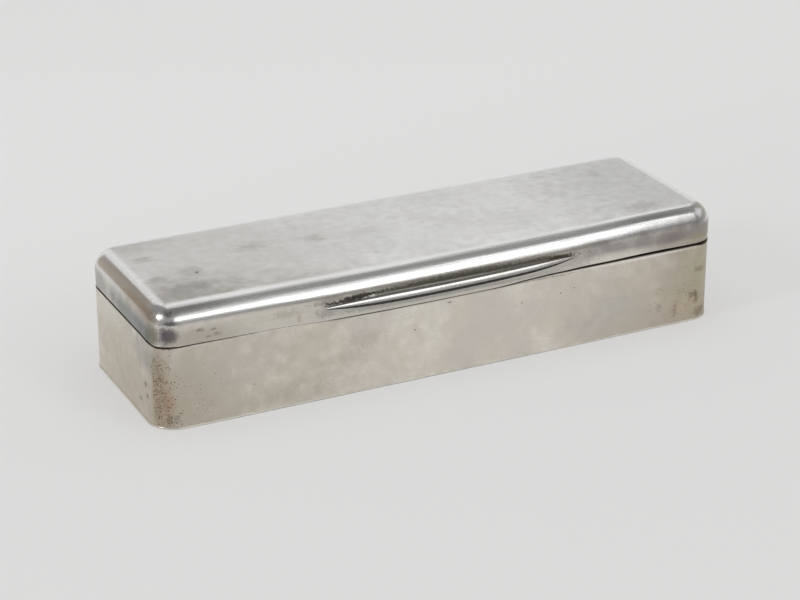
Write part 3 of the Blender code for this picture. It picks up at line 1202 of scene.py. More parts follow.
@dataclass
class Hinge:
    """The hinge at the back: knuckles on a pin between two gutters.

    Attributes:
        axis_y: Place of the axis across the box.
        axis_z: Height of the axis.
        knuckle: Radius of a knuckle.
        bearer: Radius of the gutters outside.
        stop: Angle of the stop face of a gutter, in degrees from level.
        clearance: Space between a knuckle and its gutter, and between the gutters and the axis.
        soft: Width of the worn edge of a knuckle.
        bore_share: Radius of the bore, as a share of the knuckle's.
        pin_share: The same for the pin and the plugs.
        pin_end: Worn end of the pin, as (distance in, radius) in shares of its radius.
    """

    axis_y: float
    axis_z: float
    knuckle: float
    bearer: float
    stop: float = 48.0
    clearance: float = 0.00012
    soft: float = 0.00012
    bore_share: float = 0.55
    pin_share: float = 0.5
    pin_end: Pairs = ((0.0, 0.75), (0.1, 0.93), (0.3, 1.0))

    def build_bearer(self, node: str, name: str, turn: int, body: Body, finish: bpy.types.Material) -> None:
        """Draw one gutter along the hinge.

        Args:
            node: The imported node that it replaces.
            name: Name of the piece.
            turn: 1 for the lid's and -1 for the base's.
            body: The body that it moves with.
            finish: Its material.
        """
        low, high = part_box(node)
        groove = self.knuckle + self.clearance
        start = math.pi - math.asin(self.clearance / groove)
        stop = math.radians(self.stop)
        profile = [(-self.bearer, self.bearer), (-self.bearer, self.clearance)]
        steps = 24
        angles = [start + (stop - start) * step / steps for step in range(steps + 1)]
        profile += [(groove * math.cos(angle), groove * math.sin(angle)) for angle in angles]
        steps = 20
        angles = [stop + (math.pi / 2 - stop) * step / steps for step in range(1, steps + 1)]
        profile += [(self.bearer * math.cos(angle), self.bearer * math.sin(angle)) for angle in angles]
        lip = 0.0001
        rings = []
        for x in (low.x, low.x + lip, high.x - lip, high.x):
            rings.append([(x, self.axis_y + out, self.axis_z + turn * up) for out, up in profile])
        Shape(name).loft(rings).cap().place(finish, body, Slot.SILVER, node)

    def turned(self, node: str, name: str, profile: Pairs, hollow: bool = False) -> Shape:
        """Turn a profile about the hinge's axis.

        Args:
            node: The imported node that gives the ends.
            name: Name of the piece.
            profile: (distance in from an end, radius) pairs for the left end; the right end mirrors it.
            hollow: Whether the profile closes on itself round a bore.

        Returns:
            The shape.
        """
        low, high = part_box(node)
        ends = [(low.x + along, radius) for along, radius in profile]
        ends += [(high.x - along, radius) for along, radius in reversed(profile)]
        sides = 48
        turns = [side / sides * 2 * math.pi for side in range(sides)]
        rings = []
        for x, radius in ends:
            circle = ((radius * math.cos(angle), radius * math.sin(angle)) for angle in turns)
            rings.append([(x, self.axis_y + out, self.axis_z + up) for out, up in circle])
        shape = Shape(name).loft(rings, closed_path=hollow)
        return shape if hollow else shape.cap()

    def build(self, silver: bpy.types.Material, steel: bpy.types.Material) -> int:
        """Make gutters, knuckles, pin and plugs.

        Args:
            silver: Material of the silver pieces.
            steel: Material of the pin.

        Returns:
            The number of pieces.
        """
        self.build_bearer("bearer_base", "gutter_base", -1, Body.BASE, silver)
        self.build_bearer("bearer_lid", "gutter_lid", 1, Body.LID, silver)
        bore, full, soft = self.knuckle * self.bore_share, self.knuckle, self.soft
        bevel = soft * 0.4
        tube = ((0.0, bore), (0.0, full - soft), (bevel, full - bevel), (soft, full))
        knuckles = sorted(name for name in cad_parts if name.startswith("knuckle_"))
        for node in knuckles:
            body = Body.LID if node.endswith("lid") else Body.BASE
            self.turned(node, f"tube_{node}", tube, hollow=True).place(silver, body, Slot.SILVER, node)
        pin = self.knuckle * self.pin_share
        rod = tuple((pin * along, pin * out) for along, out in self.pin_end)
        self.turned("hinge_pin", "pin_wire", rod).place(steel, Body.BASE, Slot.PIN, "hinge_pin")
        sides = ("left", "right")
        for side in sides:
            plug = self.turned(f"pin_plug_{side}", f"plug_{side}", rod)
            plug.place(silver, Body.BASE, Slot.SILVER, f"pin_plug_{side}")
        gutters, pins = 2, 1
        return gutters + len(knuckles) + pins + len(sides)


@dataclass
class Lining:
    """The cedar boards inside the base.

    Attributes:
        boards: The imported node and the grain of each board.
    """

    boards: tuple[tuple[str, Grain], ...] = (
        ("lining_floor", Grain.ALONG_X),
        ("lining_front", Grain.ALONG_X),
        ("lining_back", Grain.ALONG_X),
        ("lining_left", Grain.ALONG_Y),
        ("lining_right", Grain.ALONG_Y),
        ("lining_divider", Grain.ALONG_Y),
    )

    def dress(self) -> int:
        """Give each board its own cut of cedar.

        Returns:
            The number of boards.
        """
        for index, (node, grain) in enumerate(self.boards):
            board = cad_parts[node]
            board.data.materials.clear()
            board.data.materials.append(CedarFinish(f"cedar_{node}", grain, index + 1).build())
        return len(self.boards)


@dataclass(frozen=True)
class Lamp:
    """A soft rectangular lamp.

    Attributes:
        name: Name of the lamp.
        place: Its centre, in metres.
        aim: The point that it faces, in metres.
        width: Its width.
        height: Its height.
        radiance: Brightness of its face, where 1 is white.
        lean: Turn about the line to its aim, in degrees.
        mirrored: Whether it shows in polished metal.
    """

    name: str
    place: Point
    aim: Point
    width: float
    height: float
    radiance: float
    lean: float = 0.0
    mirrored: bool = True

    def hang(self) -> None:
        """Put the lamp into the scene."""
        data = bpy.data.lights.new(self.name, "AREA")
        data.shape = "RECTANGLE"
        data.size, data.size_y = self.width, self.height
        data.energy = self.radiance * self.width * self.height * math.pi
        lamp = add_object(self.name, data)
        away = (Vector(self.place) - Vector(self.aim)).normalized()
        turn = away.to_track_quat("Z", "Y").to_matrix() @ Matrix.Rotation(math.radians(self.lean), 3, "Z")
        lamp.matrix_world = Matrix.Translation(self.place) @ turn.to_4x4()
        lamp.visible_glossy = self.mirrored


@dataclass
class Studio:
    """Plain floor and backdrop, soft lamps, dim room and the camera.

    Attributes:
        floor_colour: Colour of the floor.
        floor_glow: How much paler the floor looks than its colour alone makes it.
        floor_rise: How much more of that it has behind the box.
        floor_half: Half the size of the floor.
        backdrop_white: Paleness of the backdrop low down, where 1 is white.
        backdrop_rise: How much paler it is high up.
        backdrop: Corners of the backdrop.
        backdrop_top: Corners of the sheet that leans forward over it.
        room_front: Colour of the room in front of the box.
        room_back: Colour of the room behind it.
        room_top: Colour of the room above it.
        camera_place: Where the camera stands.
        azimuth: Its direction round the box, in degrees.
        elevation: Its height above the horizon, in degrees.
        roll: Its tilt about the line of sight, in degrees.
        lens: Its focal length in millimetres.
        lamps: The lamps.
    """

    floor_colour: Colour = (0.5, 0.5, 0.5)
    floor_glow: float = 0.355
    floor_rise: float = 0.05
    floor_half: float = 6.0
    backdrop_white: float = 0.82
    backdrop_rise: float = 0.12
    backdrop: Corners = ((-0.33, 1.03, 0.0), (1.05, 1.03, 0.0), (1.35, 1.03, 2.6), (-0.33, 1.03, 2.6))
    backdrop_top: Corners = ((-0.46, 1.03, 2.6), (1.35, 1.03, 2.6), (1.2, 0.42, 2.7), (-0.46, 0.42, 2.7))
    room_front: Colour = (0.33, 0.325, 0.32)
    room_back: Colour = (0.46, 0.42, 0.36)
    room_top: Colour = (0.29, 0.288, 0.285)
    camera_place: Point = (-0.30703, -0.63114, 0.31842)
    azimuth: float = -25.708
    elevation: float = 23.504
    roll: float = -0.373
    lens: float = 104.19
    lamps: tuple[Lamp, ...] = (
        Lamp("front_window", (0.21, -1.2, 0.80), (0.21, 0.0, 0.80), 0.85, 0.5, 1.7),
        Lamp("tall_window", (1.251, -1.2, 2.057), (1.251, 0.0, 2.057), 3.1, 0.39, 1.7, lean=60.7),
        Lamp("right_window", (1.25, -0.15, 0.93), (0.0, -0.15, 0.93), 1.0, 0.82, 0.4),
        Lamp("side_lamp", (-0.955, -0.125, 0.65), (0.0, 0.0, 0.03), 0.22, 0.22, 12.0),
        Lamp("fill", (0.0, 0.0, 1.8), (0.0, 0.0, 0.0), 2.2, 2.2, 0.65, mirrored=False),
    )

    def build_camera(self) -> None:
        """Stand the camera where the box is seen as it was photographed."""
        turn, lift, roll = (math.radians(angle) for angle in (self.azimuth, self.elevation, self.roll))
        data = bpy.data.cameras.new("camera")
        data.lens = self.lens
        data.sensor_width = 36.0
        data.clip_start, data.clip_end = 0.01, 50.0
        camera = add_object("camera", data)
        view = Matrix.Rotation(math.pi / 2 - lift, 4, "X") @ Matrix.Rotation(roll, 4, "Z")
        camera.matrix_world = Matrix.Translation(self.camera_place) @ Matrix.Rotation(turn, 4, "Z") @ view
        bpy.context.scene.camera = camera

    def stage_face(self, name: str, corners: Corners, material: bpy.types.Material) -> None:
        """Set up one flat face of the stage.

        Args:
            name: Name of the face.
            corners: Its corners in order.
            material: Its material.
        """
        mesh = bpy.data.meshes.new(name)
        mesh.from_pydata(corners, [], [tuple(range(len(corners)))])
        mesh.materials.append(material)
        face = add_object(name, mesh)
        face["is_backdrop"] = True

    def seen(self, graph: Graph) -> bpy.types.NodeSocket:
        """Whether a ray shows the surface to the camera, straight or by way of metal or glass.

        Args:
            graph: The material's graph.

        Returns:
            The socket that is 1 for such a ray.
        """
        rays = graph.add("ShaderNodeLightPath").outputs
        straight = graph.math("MAXIMUM", rays["Is Camera Ray"], rays["Is Glossy Ray"])
        return graph.math("MAXIMUM", straight, rays["Is Transmission Ray"])

    def build_floor(self) -> None:
        """Lay a wide, plain, pale floor."""
        graph = Graph("floor_paper", 0.0, 0.9, self.floor_colour, specular=0.1)
        _, back, _ = graph.split(graph.place)
        low, high = self.floor_glow, self.floor_glow + self.floor_rise
        level = graph.fade(back, start=-60, end=260, low=low, high=high)
        graph.plug(graph.shader.inputs["Emission Color"], (1.0, 1.0, 1.0))
        graph.plug(graph.shader.inputs["Emission Strength"], graph.math("MULTIPLY", self.seen(graph), level))
        half = self.floor_half
        corners = ((-half, -half, 0.0), (half, -half, 0.0), (half, half, 0.0), (-half, half, 0.0))
        self.stage_face("floor", corners, graph.finish())

    def build_backdrop(self) -> None:
        """Stand a pale sheet behind the box, which only shows and gives no light."""
        graph = Graph("backdrop_paper", 0.0, 1.0, (0.0, 0.0, 0.0))
        clear = graph.add("ShaderNodeBsdfTransparent")
        sheet = graph.add("ShaderNodeEmission")
        _, _, height = graph.split(graph.place)
        high = self.backdrop_white + self.backdrop_rise
        strength = graph.fade(height, start=550, end=1050, low=self.backdrop_white, high=high)
        graph.plug(sheet.inputs["Strength"], strength)
        either = graph.add("ShaderNodeMixShader")
        for socket, source in zip(either.inputs, (self.seen(graph), clear.outputs[0], sheet.outputs[0])):
            graph.plug(socket, source)
        graph.plug(graph.tree.nodes["Material Output"].inputs[0], either.outputs[0])
        self.stage_face("backdrop", self.backdrop, graph.material)
        self.stage_face("backdrop_top", self.backdrop_top, graph.material)

    def build_world(self) -> None:
        """Fill the room with dim, even light, darker in front and warmer behind."""
        world = bpy.data.worlds.new("room")
        world.use_nodes = True
        bpy.context.scene.world = world
        nodes = Nodes(world.node_tree)
        _, back, up = nodes.split(nodes.add("ShaderNodeTexCoord").outputs["Generated"])
        walls = nodes.mix(nodes.fade(back, start=-0.1, end=0.45), self.room_front, self.room_back)
        room = nodes.mix(nodes.fade(up, start=0.0, end=0.75), walls, self.room_top)
        nodes.plug(world.node_tree.nodes["Background"].inputs["Color"], room)

    def build(self) -> None:
        """Set up the whole studio."""
        self.build_camera()
        self.build_floor()
        self.build_backdrop()
        self.build_world()
        for lamp in self.lamps:
            lamp.hang()
        bpy.context.scene.view_settings.view_transform = "Standard"


# Colours and finishes of this box; the places of its marks are in millimetres
SILVER_BRIGHT = (0.795, 0.79, 0.785)
SILVER_WARM = (0.70, 0.655, 0.575)
SILVER_DULL = (0.50, 0.455, 0.375)
# Dark colour of stains, and of painted shade in the parting gap
DARK_STAIN_AND_SHADE = (0.10, 0.095, 0.09)
SMUDGE = (0.40, 0.385, 0.36)


def marks(*rows: tuple[Point | Colour | float, ...]) -> tuple[Mark, ...]:
    """Make one mark of each row, which holds the values of a mark in their order."""
    return tuple(Mark(*row) for row in rows)


WALL_MARKS = marks(
    ((-100, -2, 17), (2.5, 31, 17), (0.60, 0.56, 0.46), 0.55, 1.3, 0.8, 0.03),
    ((-99, -31, 6), (22, 9, 19), (0.40, 0.335, 0.25), 0.65, 0.5, 0.8, 0.03),
    ((99, -31, 14), (17, 9, 30), (0.40, 0.345, 0.26), 0.7, 0.5, 0.8, 0.03),
    ((80, -31, 6), (30, 9, 22), (0.50, 0.44, 0.345), 0.5, 0.6, 0.8, 0.03),
    ((-100, -8, 6), (3, 22, 14), (0.60, 0.54, 0.42), 0.6, 0.7, 0.7, 0.03),
    ((-100, -21, 23), (3, 9, 5), (0.42, 0.42, 0.40), 0.6, 0.8, 0.6, 0.0),
    ((-97.8, -28.3, 11), (2.6, 3.0, 15), (0.34, 0.22, 0.14), 0.65, 0.4, 0.6, 0.05),
    ((-96.0, -30.3, 10.0), (1.9, 1.4, 4.8), (0.46, 0.27, 0.18), 0.65, 0.8, 0.7, 0.05),
    # Painted highlights: the next four rows are pale lines of the lit, rounded rim edge below the parting
    # line
    ((30, -31, 26.7), (13, 2, 0.25), (0.88, 0.85, 0.78), 0.6, 0.8, 0.5, 0.0),
    ((66, -31, 26.6), (24, 2, 0.5), (0.95, 0.92, 0.86), 0.7, 0.8, 0.6, 0.0),
    ((-80, -31, 27.2), (13, 2, 0.35), (0.95, 0.92, 0.87), 0.7, 0.8, 0.6, 0.0),
    ((-64, -31, 27.0), (11, 2, 0.22), (0.95, 0.93, 0.90), 0.7, 1.0, 0.6, 0.0),
    ((28, -31, 26.25), (17, 2, 0.2), (0.24, 0.20, 0.15), 0.6, 1.8, 0.5, 0.05),
    ((88, -31, 6.5), (6, 5, 3.5), (0.60, 0.49, 0.33), 0.45, 1.0, 0.7, 0.03),
    ((80, -31, 4.0), (8, 5, 3.0), (0.60, 0.50, 0.44), 0.35, 1.0, 0.7, 0.03),
    ((94, -31, 18.5), (7, 5, 7), (0.52, 0.50, 0.36), 0.45, 1.0, 0.8, 0.0),
    ((61, -31, 10.8), (6, 4, 3.5), (0.60, 0.60, 0.585), 0.4, 1.2, 0.8, 0.0),
    ((50, -31, 5.7), (7, 4, 3), (0.60, 0.54, 0.53), 0.35, 1.2, 0.8, 0.0),
    ((90.9, -31, 9.8), (1.7, 3, 1.2), (0.22, 0.17, 0.12), 0.6, 2.2, 0.6, 0.05),
    ((92.4, -31, 8.0), (1.0, 3, 1.6), (0.22, 0.17, 0.12), 0.6, 2.2, 0.6, 0.05),
    ((93.6, -31, 18.3), (1.9, 3, 0.9), (0.26, 0.21, 0.15), 0.5, 2.2, 0.6, 0.05),
    ((83.9, -31, 5.2), (1.0, 3, 1.9), (0.30, 0.22, 0.19), 0.5, 2.2, 0.6, 0.05),
    ((77.9, -31, 7.5), (1.0, 3, 1.3), (0.30, 0.24, 0.20), 0.4, 2.2, 0.6, 0.05),
    ((94.2, -31, 3.0), (2.3, 3, 1.5), (0.24, 0.17, 0.11), 0.55, 2.0, 0.6, 0.05),
    # Painted shade along the parting gap of the left end
    ((-100.2, 0, 28.2), (2, 50, 0.4), DARK_STAIN_AND_SHADE, 0.6, 0.1, 0.5, 0.1),
    ((-93.8, -31, 3.9), (0.9, 2, 0.8), DARK_STAIN_AND_SHADE, 0.45, 0.8, 0.6, 0.1),
    ((-96.2, -30.4, 2.8), (1.8, 2, 1.3), (0.22, 0.16, 0.10), 0.6, 1.2, 0.6, 0.1),
    ((-100, -27, 23), (2, 4, 5), (0.34, 0.29, 0.22), 0.6, 0.6, 0.7, 0.05),
    ((-46, -31, 8), (9, 3, 1.6), (0.52, 0.47, 0.40), 0.4, 1.8, 0.8, 0.03),
    ((-37, -31, 13), (7, 3, 1.8), (0.52, 0.47, 0.40), 0.4, 1.8, 0.8, 0.03),
    ((-30, -31, 18), (6, 3, 2.2), (0.52, 0.47, 0.40), 0.4, 1.8, 0.8, 0.03),
    ((-76, -31, 14), (30, 5, 18), (0.58, 0.535, 0.435), 0.6, 1.6, 0.9, 0.0),
    ((-72, -31, 19), (12, 5, 7), (0.62, 0.58, 0.54), 0.45, 1.4, 0.8, 0.0),
    ((-55, -31, 4), (16, 3.4, 2.5), (0.54, 0.49, 0.41), 0.45, 1.6, 0.8, 0.03),
    ((-100, 16, 25), (2, 12, 4), (0.80, 0.78, 0.72), 0.6, 0.6, 0.7, 0.0),
    ((-0.5, -31, 24.5), (0.75, 2, 0.3), DARK_STAIN_AND_SHADE, 0.6, 0.6, 0.6, 0.1),
    ((39.9, -31, 19.9), (0.35, 2, 0.35), DARK_STAIN_AND_SHADE, 0.5, 0.6, 0.6, 0.1),
    ((25.6, -31, 19.2), (0.35, 2, 0.35), DARK_STAIN_AND_SHADE, 0.4, 0.6, 0.6, 0.1),
    ((-100, -20.9, 12.8), (2, 0.9, 0.9), DARK_STAIN_AND_SHADE, 0.6, 0.6, 0.5, 0.1),
    ((-100, -22.1, 9.2), (2, 0.8, 0.7), DARK_STAIN_AND_SHADE, 0.6, 0.6, 0.5, 0.1),
    ((-100, -16.3, 6.0), (2, 1.0, 0.6), DARK_STAIN_AND_SHADE, 0.5, 0.6, 0.5, 0.1),
)
WALL_PITS = (
    Pits(
        marks(
            ((-99.0, -27.6, 14), (2.6, 2.3, 15), DARK_STAIN_AND_SHADE, 1.0, 0.25, 0.25),
            ((-96.5, -30.2, 12), (3, 2, 14), DARK_STAIN_AND_SHADE, 0.35, 0.5, 0.6),
            ((-95.5, -30.6, 3.5), (3, 2, 4), DARK_STAIN_AND_SHADE, 0.7, 0.5, 0.6),
        ),
        spacing=0.52,
        size=0.5,
        colour=(0.14, 0.095, 0.06),
        depth=0.03,
    ),
    Pits(
        marks(
            ((97, -31, 9), (10, 4, 12), DARK_STAIN_AND_SHADE, 0.3, 0.9, 0.95),
            ((84, -31, 7), (8, 4, 7), DARK_STAIN_AND_SHADE, 0.16, 0.9, 0.95),
            ((-90, -31, 6), (9, 4, 10), DARK_STAIN_AND_SHADE, 0.2, 0.6, 0.9),
        ),
        spacing=0.62,
        size=0.42,
        colour=(0.34, 0.26, 0.18),
        depth=0.004,
    ),
    Pits(
        marks(((0, -31, 14), (140, 60, 30), DARK_STAIN_AND_SHADE, 0.05, 0.3, 0.3)),
        spacing=2.4,
        size=0.13,
        colour=(0.20, 0.15, 0.11),
        depth=0.002,
    ),
)
FLAT_MARKS = marks(
    ((-78, 0, 40), (42, 60, 4), (0.61, 0.595, 0.565), 0.6, 0.6, 0.8, 0.03),
    ((87, 0, 40), (27, 60, 4), (0.57, 0.565, 0.55), 0.65, 0.9, 0.8, 0.03),
    ((-86, -22, 40), (18, 13, 4), (0.40, 0.37, 0.33), 0.7, 0.7, 0.7, 0.03),
    ((-90, 27, 40), (14, 9, 4), (0.50, 0.48, 0.45), 0.6, 0.7, 0.7, 0.03),
    ((-52, -24, 40), (20, 7, 4), (0.58, 0.56, 0.52), 0.5, 0.8, 0.7, 0.03),
    ((-53, 5.5, 40), (4.5, 3.5, 2), SMUDGE, 0.4, 2.2, 0.7, 0.05),
    ((-32, 3, 40), (3, 2.4, 2), SMUDGE, 0.35, 2.2, 0.7, 0.05),
    ((-15.2, 2, 40), (6.5, 2.8, 2), (0.62, 0.61, 0.59), 0.55, 0.4, 0.35, 0.0),
    ((-78, -4.5, 40), (3, 3, 2), SMUDGE, 0.45, 2.2, 0.7, 0.05),
    ((-84, -20, 40), (11, 4.5, 2), SMUDGE, 0.6, 2.4, 0.7, 0.05),
    ((-88, 10.5, 40), (2.6, 2.2, 2), SMUDGE, 0.5, 2.2, 0.6, 0.05),
    ((-90, -6.6, 40), (2.2, 1.8, 2), SMUDGE, 0.6, 2.0, 0.6, 0.05),
    ((-76.3, -6.6, 40), (0.55, 0.7, 2), DARK_STAIN_AND_SHADE, 0.75, 0.4, 0.6, 0.1),
    ((-19.2, -16.8, 40), (1.3, 1.3, 2), (0.4, 0.39, 0.38), 0.35, 1.6, 0.6, 0.1),
    ((-50, -25, 40), (8, 3, 2), SMUDGE, 0.3, 2.4, 0.6, 0.05),
    ((77, 14, 40), (3, 2, 2), SMUDGE, 0.3, 2.0, 0.7, 0.05),
    ((77, -20, 40), (5, 3, 2), SMUDGE, 0.45, 2.2, 0.7, 0.05),
)
LID_MARKS = marks(
    ((0, 0, 29.6), (500, 500, 5.2), SILVER_WARM, 0.85, 0.12, 0.16, 0.0),
    # Painted reflection: the next two rows deepen the dark band of the room above in the rolled edge
    ((76, -28.6, 39.6), (17, 2.2, 1.3), (0.34, 0.33, 0.33), 0.6, 0.3, 0.6, 0.0),
    ((-89, -28.8, 38.9), (12, 2.4, 1.4), (0.34, 0.33, 0.31), 0.6, 0.4, 0.7, 0.0),
    ((-86, -31, 29.5), (16, 4, 3.4), (0.46, 0.42, 0.36), 0.7, 0.7, 0.7, 0.03),
    ((0, -31, 30.0), (52, 4, 3.8), (0.52, 0.505, 0.48), 0.55, 0.5, 0.6, 0.03),
    ((-62, -31, 30.5), (13, 4, 2.6), (0.72, 0.69, 0.60), 0.5, 0.8, 0.6, 0.03),
    ((88, -31, 31.5), (32, 4, 4.0), (0.27, 0.24, 0.23), 0.8, 0.9, 0.7, 0.12),
    ((62, -31, 32.2), (13, 4, 1.9), (0.36, 0.34, 0.34), 0.65, 0.9, 0.7, 0.05),
    ((82, -31, 31.6), (4, 3, 1.4), (0.25, 0.21, 0.22), 0.6, 1.6, 0.6, 0.05),
    ((92, -31, 29.5), (4, 4, 1.8), (0.42, 0.38, 0.25), 0.6, 1.6, 0.6, 0.05),
    ((86, -31, 29.8), (4, 3, 1.0), (0.40, 0.36, 0.30), 0.4, 1.8, 0.6, 0.05),
    ((60, -31, 28.5), (15, 4, 1.9), (0.84, 0.80, 0.72), 0.7, 0.6, 0.7, 0.0),
    ((88, -31, 28.4), (12, 3, 0.9), (0.34, 0.30, 0.25), 0.3, 0.8, 0.7, 0.05),
    ((87, -31, 29.1), (7, 3, 0.8), (0.62, 0.58, 0.50), 0.45, 0.9, 0.7, 0.0),
    ((49, -31, 33.4), (6, 3, 1.0), (0.46, 0.43, 0.40), 0.6, 1.0, 0.7, 0.0),
    ((-100, -10, 31), (3, 22, 3.6), (0.18, 0.19, 0.18), 0.85, 0.5, 0.5, 0.0),
    ((-100, -22, 31.4), (3, 8, 3.8), (0.13, 0.14, 0.13), 0.6, 0.6, 0.6, 0.0),
    ((-99.6, -21.5, 35.6), (3, 5, 2.3), (0.28, 0.24, 0.19), 0.6, 0.8, 0.6, 0.05),
    ((-100, -4, 34.5), (2, 22, 1.3), (0.50, 0.48, 0.44), 0.4, 0.8, 0.8, 0.0),
    ((-100, 22, 31), (3, 10, 3.6), (0.34, 0.34, 0.32), 0.8, 0.5, 0.5, 0.0),
    # Painted shade along the parting gap of the left end
    ((-100.2, 0, 28.2), (2, 50, 0.5), DARK_STAIN_AND_SHADE, 0.7, 0.1, 0.5, 0.1),
    ((-99.5, -15, 36.6), (3, 14, 1.8), (0.40, 0.29, 0.20), 0.6, 0.8, 0.6, 0.05),
    ((4, -31, 32.4), (36, 3, 2.0), (0.15, 0.14, 0.12), 0.9, 0.5, 0.35, 0.1),
    ((3, -31, 32.7), (38, 3, 0.8), (0.09, 0.082, 0.066), 0.8, 0.9, 0.5, 0.1),
    ((33, -31, 33.1), (7, 3, 0.7), (0.12, 0.11, 0.09), 0.85, 0.8, 0.5, 0.1),
    ((-31, -31, 32.9), (5, 2.5, 0.7), (0.08, 0.075, 0.06), 0.9, 0.8, 0.4, 0.2),
    ((-3, -31, 32.08), (26, 2.5, 0.28), (0.45, 0.43, 0.40), 0.8, 0.9, 0.5, 0.1),
    ((27, -31, 32.45), (10, 2.5, 0.25), (0.24, 0.23, 0.20), 0.75, 0.9, 0.5, 0.1),
    ((-42, -31, 32.9), (4.5, 2.5, 1.3), (0.30, 0.28, 0.25), 0.6, 0.8, 0.6, 0.1),
    # Painted shade: the next three rows darken the skirt under the thumb bar
    ((2, -31, 27.9), (33, 3, 0.6), (0.16, 0.155, 0.15), 0.4, 1.0, 0.7, 0.1),
    ((-31, -31, 28.8), (9, 3, 0.9), (0.34, 0.33, 0.31), 0.5, 0.9, 0.7, 0.05),
    ((36, -31, 29.0), (8, 3, 1.0), (0.46, 0.44, 0.41), 0.5, 0.8, 0.7, 0.03),
    ((47.0, -31, 31.2), (6.5, 3, 2.4), (0.43, 0.41, 0.39), 0.55, 0.9, 0.7, 0.03),
    # Painted shade: near black in the parting gap at the left front corner
    ((-98.0, -28.6, 27.15), (3.2, 3.0, 0.34), (0.035, 0.03, 0.026), 0.95, 0.1, 0.4, 0.35),
    ((-35.6, -31, 32.05), (5.9, 2.5, 0.75), (0.09, 0.08, 0.07), 0.95, 1.5, 0.35, 0.3),
    ((-41.6, -31, 31.5), (2.6, 2.5, 0.42), (0.16, 0.15, 0.14), 0.8, 1.2, 0.4, 0.2),
    ((40.0, -31, 32.6), (3.9, 2.5, 0.75), (0.09, 0.075, 0.05), 0.95, 1.3, 0.4, 0.2),
    ((-43.5, -31, 29.3), (3, 2.5, 1.5), (0.33, 0.31, 0.31), 0.55, 1.4, 0.6, 0.05),
    ((-84.8, -31, 31.9), (1.1, 2, 0.5), (0.20, 0.17, 0.12), 0.65, 2.0, 0.6, 0.05),
    ((-80.6, -31, 31.4), (0.7, 2, 0.3), (0.20, 0.17, 0.12), 0.6, 1.8, 0.6, 0.05),
    ((-79.5, -31, 29.8), (1.0, 2, 0.45), (0.22, 0.19, 0.14), 0.6, 2.0, 0.6, 0.05),
    ((-82.4, -31, 29.3), (0.7, 2, 0.3), (0.24, 0.20, 0.15), 0.55, 2.0, 0.6, 0.05),
    ((-57, -31, 31.6), (4.0, 2, 1.3), (0.46, 0.42, 0.34), 0.5, 1.6, 0.8, 0.05),
    ((-52.6, -31, 29.2), (0.6, 2, 1.3), (0.46, 0.38, 0.27), 0.5, 1.2, 0.8, 0.0),
    ((-99.1, -26.6, 31.0), (1.9, 2.2, 3.0), (0.27, 0.26, 0.20), 0.8, 0.8, 0.5, 0.05),
    ((-96.9, -29.6, 31.2), (1.7, 1.7, 3.2), (0.20, 0.17, 0.21), 0.7, 0.8, 0.6, 0.05),
    # Painted highlight: a pale crease on the corner
    ((-98.2, -28.3, 32.4), (0.45, 0.45, 1.9), (0.74, 0.73, 0.68), 0.7, 0.9, 0.6, 0.0),
    ((-95.0, -30.3, 31.4), (2.7, 2.5, 2.5), (0.11, 0.102, 0.108), 0.86, 0.3, 0.5, 0.1),
    # Painted reflection: the next two rows are the dark reflection in the corner of the rolled edge
    ((-94.9, -29.4, 38.2), (1.7, 1.6, 0.9), (0.10, 0.08, 0.075), 0.8, 0.7, 0.6, -0.08),
    ((-94.6, -30.2, 35.3), (2.2, 1.4, 0.6), (0.12, 0.105, 0.10), 0.75, 0.7, 0.6, -0.08),
    ((-98.5, -3, 38.2), (3.4, 24, 3.2), (0.50, 0.46, 0.40), 0.35, 0.3, 0.4, -0.35),
)

WALL_SILVER = SilverFinish(
    "silver_wall",
    bright=(0.90, 0.862, 0.785),
    dull=(0.725, 0.675, 0.58),
    clouds=0.78,
    blush=(0.70, 0.66, 0.63),
    blush_share=0.7,
    flecks=0.42,
    rough=0.34,
    rough_swing=0.05,
    marks=WALL_MARKS,
    pits=WALL_PITS,
    # Dark colour for the rim: painted shade of the parting gap, with dirt
    shade_and_grime=(0.09, 0.072, 0.052),
)
# Its dark colour is painted shadow at the plate's lower edge, along the floor
PLATE_SILVER = SilverFinish(
    "silver_plate", (0.90, 0.87, 0.79), SILVER_WARM, 0.3, rough=0.42, shade_and_grime=(0.05, 0.047, 0.042)
)
LID_SILVER = SilverFinish(
    "silver_lid",
    bright=SILVER_BRIGHT,
    dull=(0.69, 0.68, 0.65),
    clouds=0.6,
    rough=0.36,
    rough_swing=0.07,
    satin=(94.2, 25.2),
    flat_marks=FLAT_MARKS,
    marks=LID_MARKS,
)
GILDING = SilverFinish(
    "gilding", (0.83, 0.66, 0.36), (0.76, 0.59, 0.31), 0.4, blush_share=0.0, rough=0.4, rough_swing=0.03
)
# Its dark colour is dirt in the upper seam and painted shade on the bar's underside
THUMB_SILVER = SilverFinish(
    "silver_thumb", SILVER_BRIGHT, SILVER_WARM, 0.4, rough=0.22, rough_swing=0.03, shade_and_grime=(0.055, 0.05, 0.048)
)
SOLDER = SilverFinish("solder", SILVER_BRIGHT, SILVER_DULL, 0.5, rough=0.22, rough_swing=0.05)
HINGE_SILVER = SilverFinish("silver_hinge", SILVER_BRIGHT, SILVER_DULL, 0.6, rough=0.24)
PIN_STEEL = SilverFinish(
    "pin_steel", (0.52, 0.50, 0.47), (0.30, 0.27, 0.24), 0.6, blush_share=0.0, rough=0.35
)

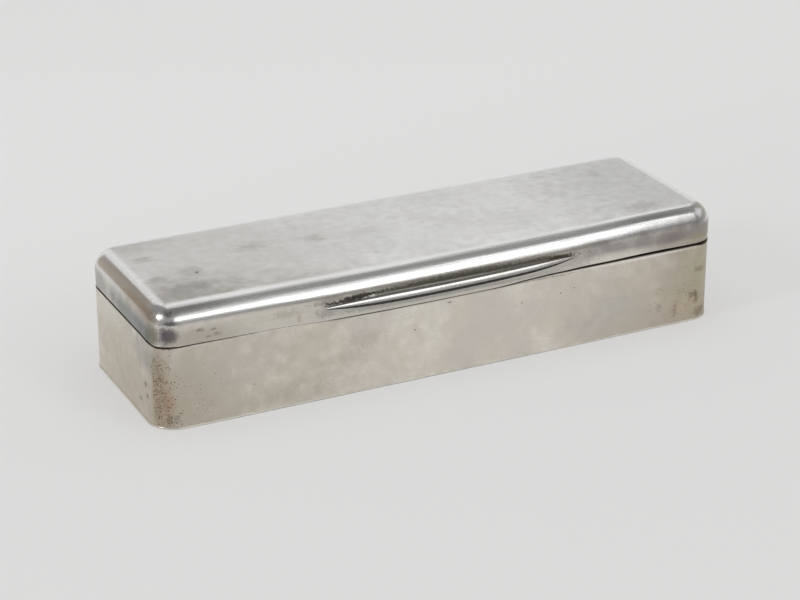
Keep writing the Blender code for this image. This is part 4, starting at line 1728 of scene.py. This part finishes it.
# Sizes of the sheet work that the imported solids' boxes don't give
CORNER = 0.009
LID_EDGE = 0.0064
SHEET = 0.001
BEARER_RADIUS = 0.0024
THUMB_HEIGHT = 0.0034
THUMB_LINE = ((-44.6, 30.65), (-25, 30.15), (0, 30.02), (25, 30.45), (37.5, 31.1), (45.8, 31.85))
PLATE_WEAR = 0.0003
RIM_RISE = 0.00008
SLOT_CLEARANCE = 0.00002


def main() -> None:
    """Build the box piece by piece, then the studio round it."""
    logging.basicConfig(level=logging.INFO, format="%(name)s: %(message)s")
    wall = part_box("wall_band")[1]
    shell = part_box("lid_shell")[1]
    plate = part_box("base_plate")[1]
    roof_of_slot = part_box("bearer_lid")[1]
    floor_of_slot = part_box("bearer_base")[0]
    knuckle_low, knuckle_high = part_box("knuckle_1_base")
    plan = BoxPlan(wall.x, wall.y, CORNER, roof_of_slot.x + SLOT_CLEARANCE)
    parting = PartingLine(wall.z + RIM_RISE)
    level = floor_of_slot.z - SLOT_CLEARANCE
    base = Base(
        plan, parting, SHEET, plate.z - PLATE_WEAR, plate.x - wall.x, level, WALL_SILVER, PLATE_SILVER
    )
    base.build_wall()
    log.info("wall of the base built")
    base.build_plate()
    log.info("bottom plate built")
    level = roof_of_slot.z + SLOT_CLEARANCE
    lid = Lid(plan, parting, shell.z, LID_EDGE, SHEET, level, LID_SILVER, GILDING)
    lid.build_shell()
    log.info("lid built")
    lid.build_gilding()
    log.info("gilding built")
    thumb = ThumbPiece(-wall.y, THUMB_LINE, THUMB_HEIGHT, THUMB_SILVER, SOLDER)
    thumb.build_bar()
    log.info("thumb piece built")
    thumb.build_solder()
    log.info("solder built")
    axis = (knuckle_low + knuckle_high) / 2
    hinge = Hinge(axis.y, axis.z, (knuckle_high.z - knuckle_low.z) / 2, BEARER_RADIUS)
    log.info("hinge built with %d pieces", hinge.build(HINGE_SILVER.build(), PIN_STEEL.build()))
    log.info("lining dressed with %d boards", Lining().dress())
    Studio().build()
    log.info("studio built")
    boxes = {"cad": CAD_BOX, "visual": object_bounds()}
    {name: [list(low), list(high)] for name, (low, high) in boxes.items()}


if __name__ == "__main__":
    main()
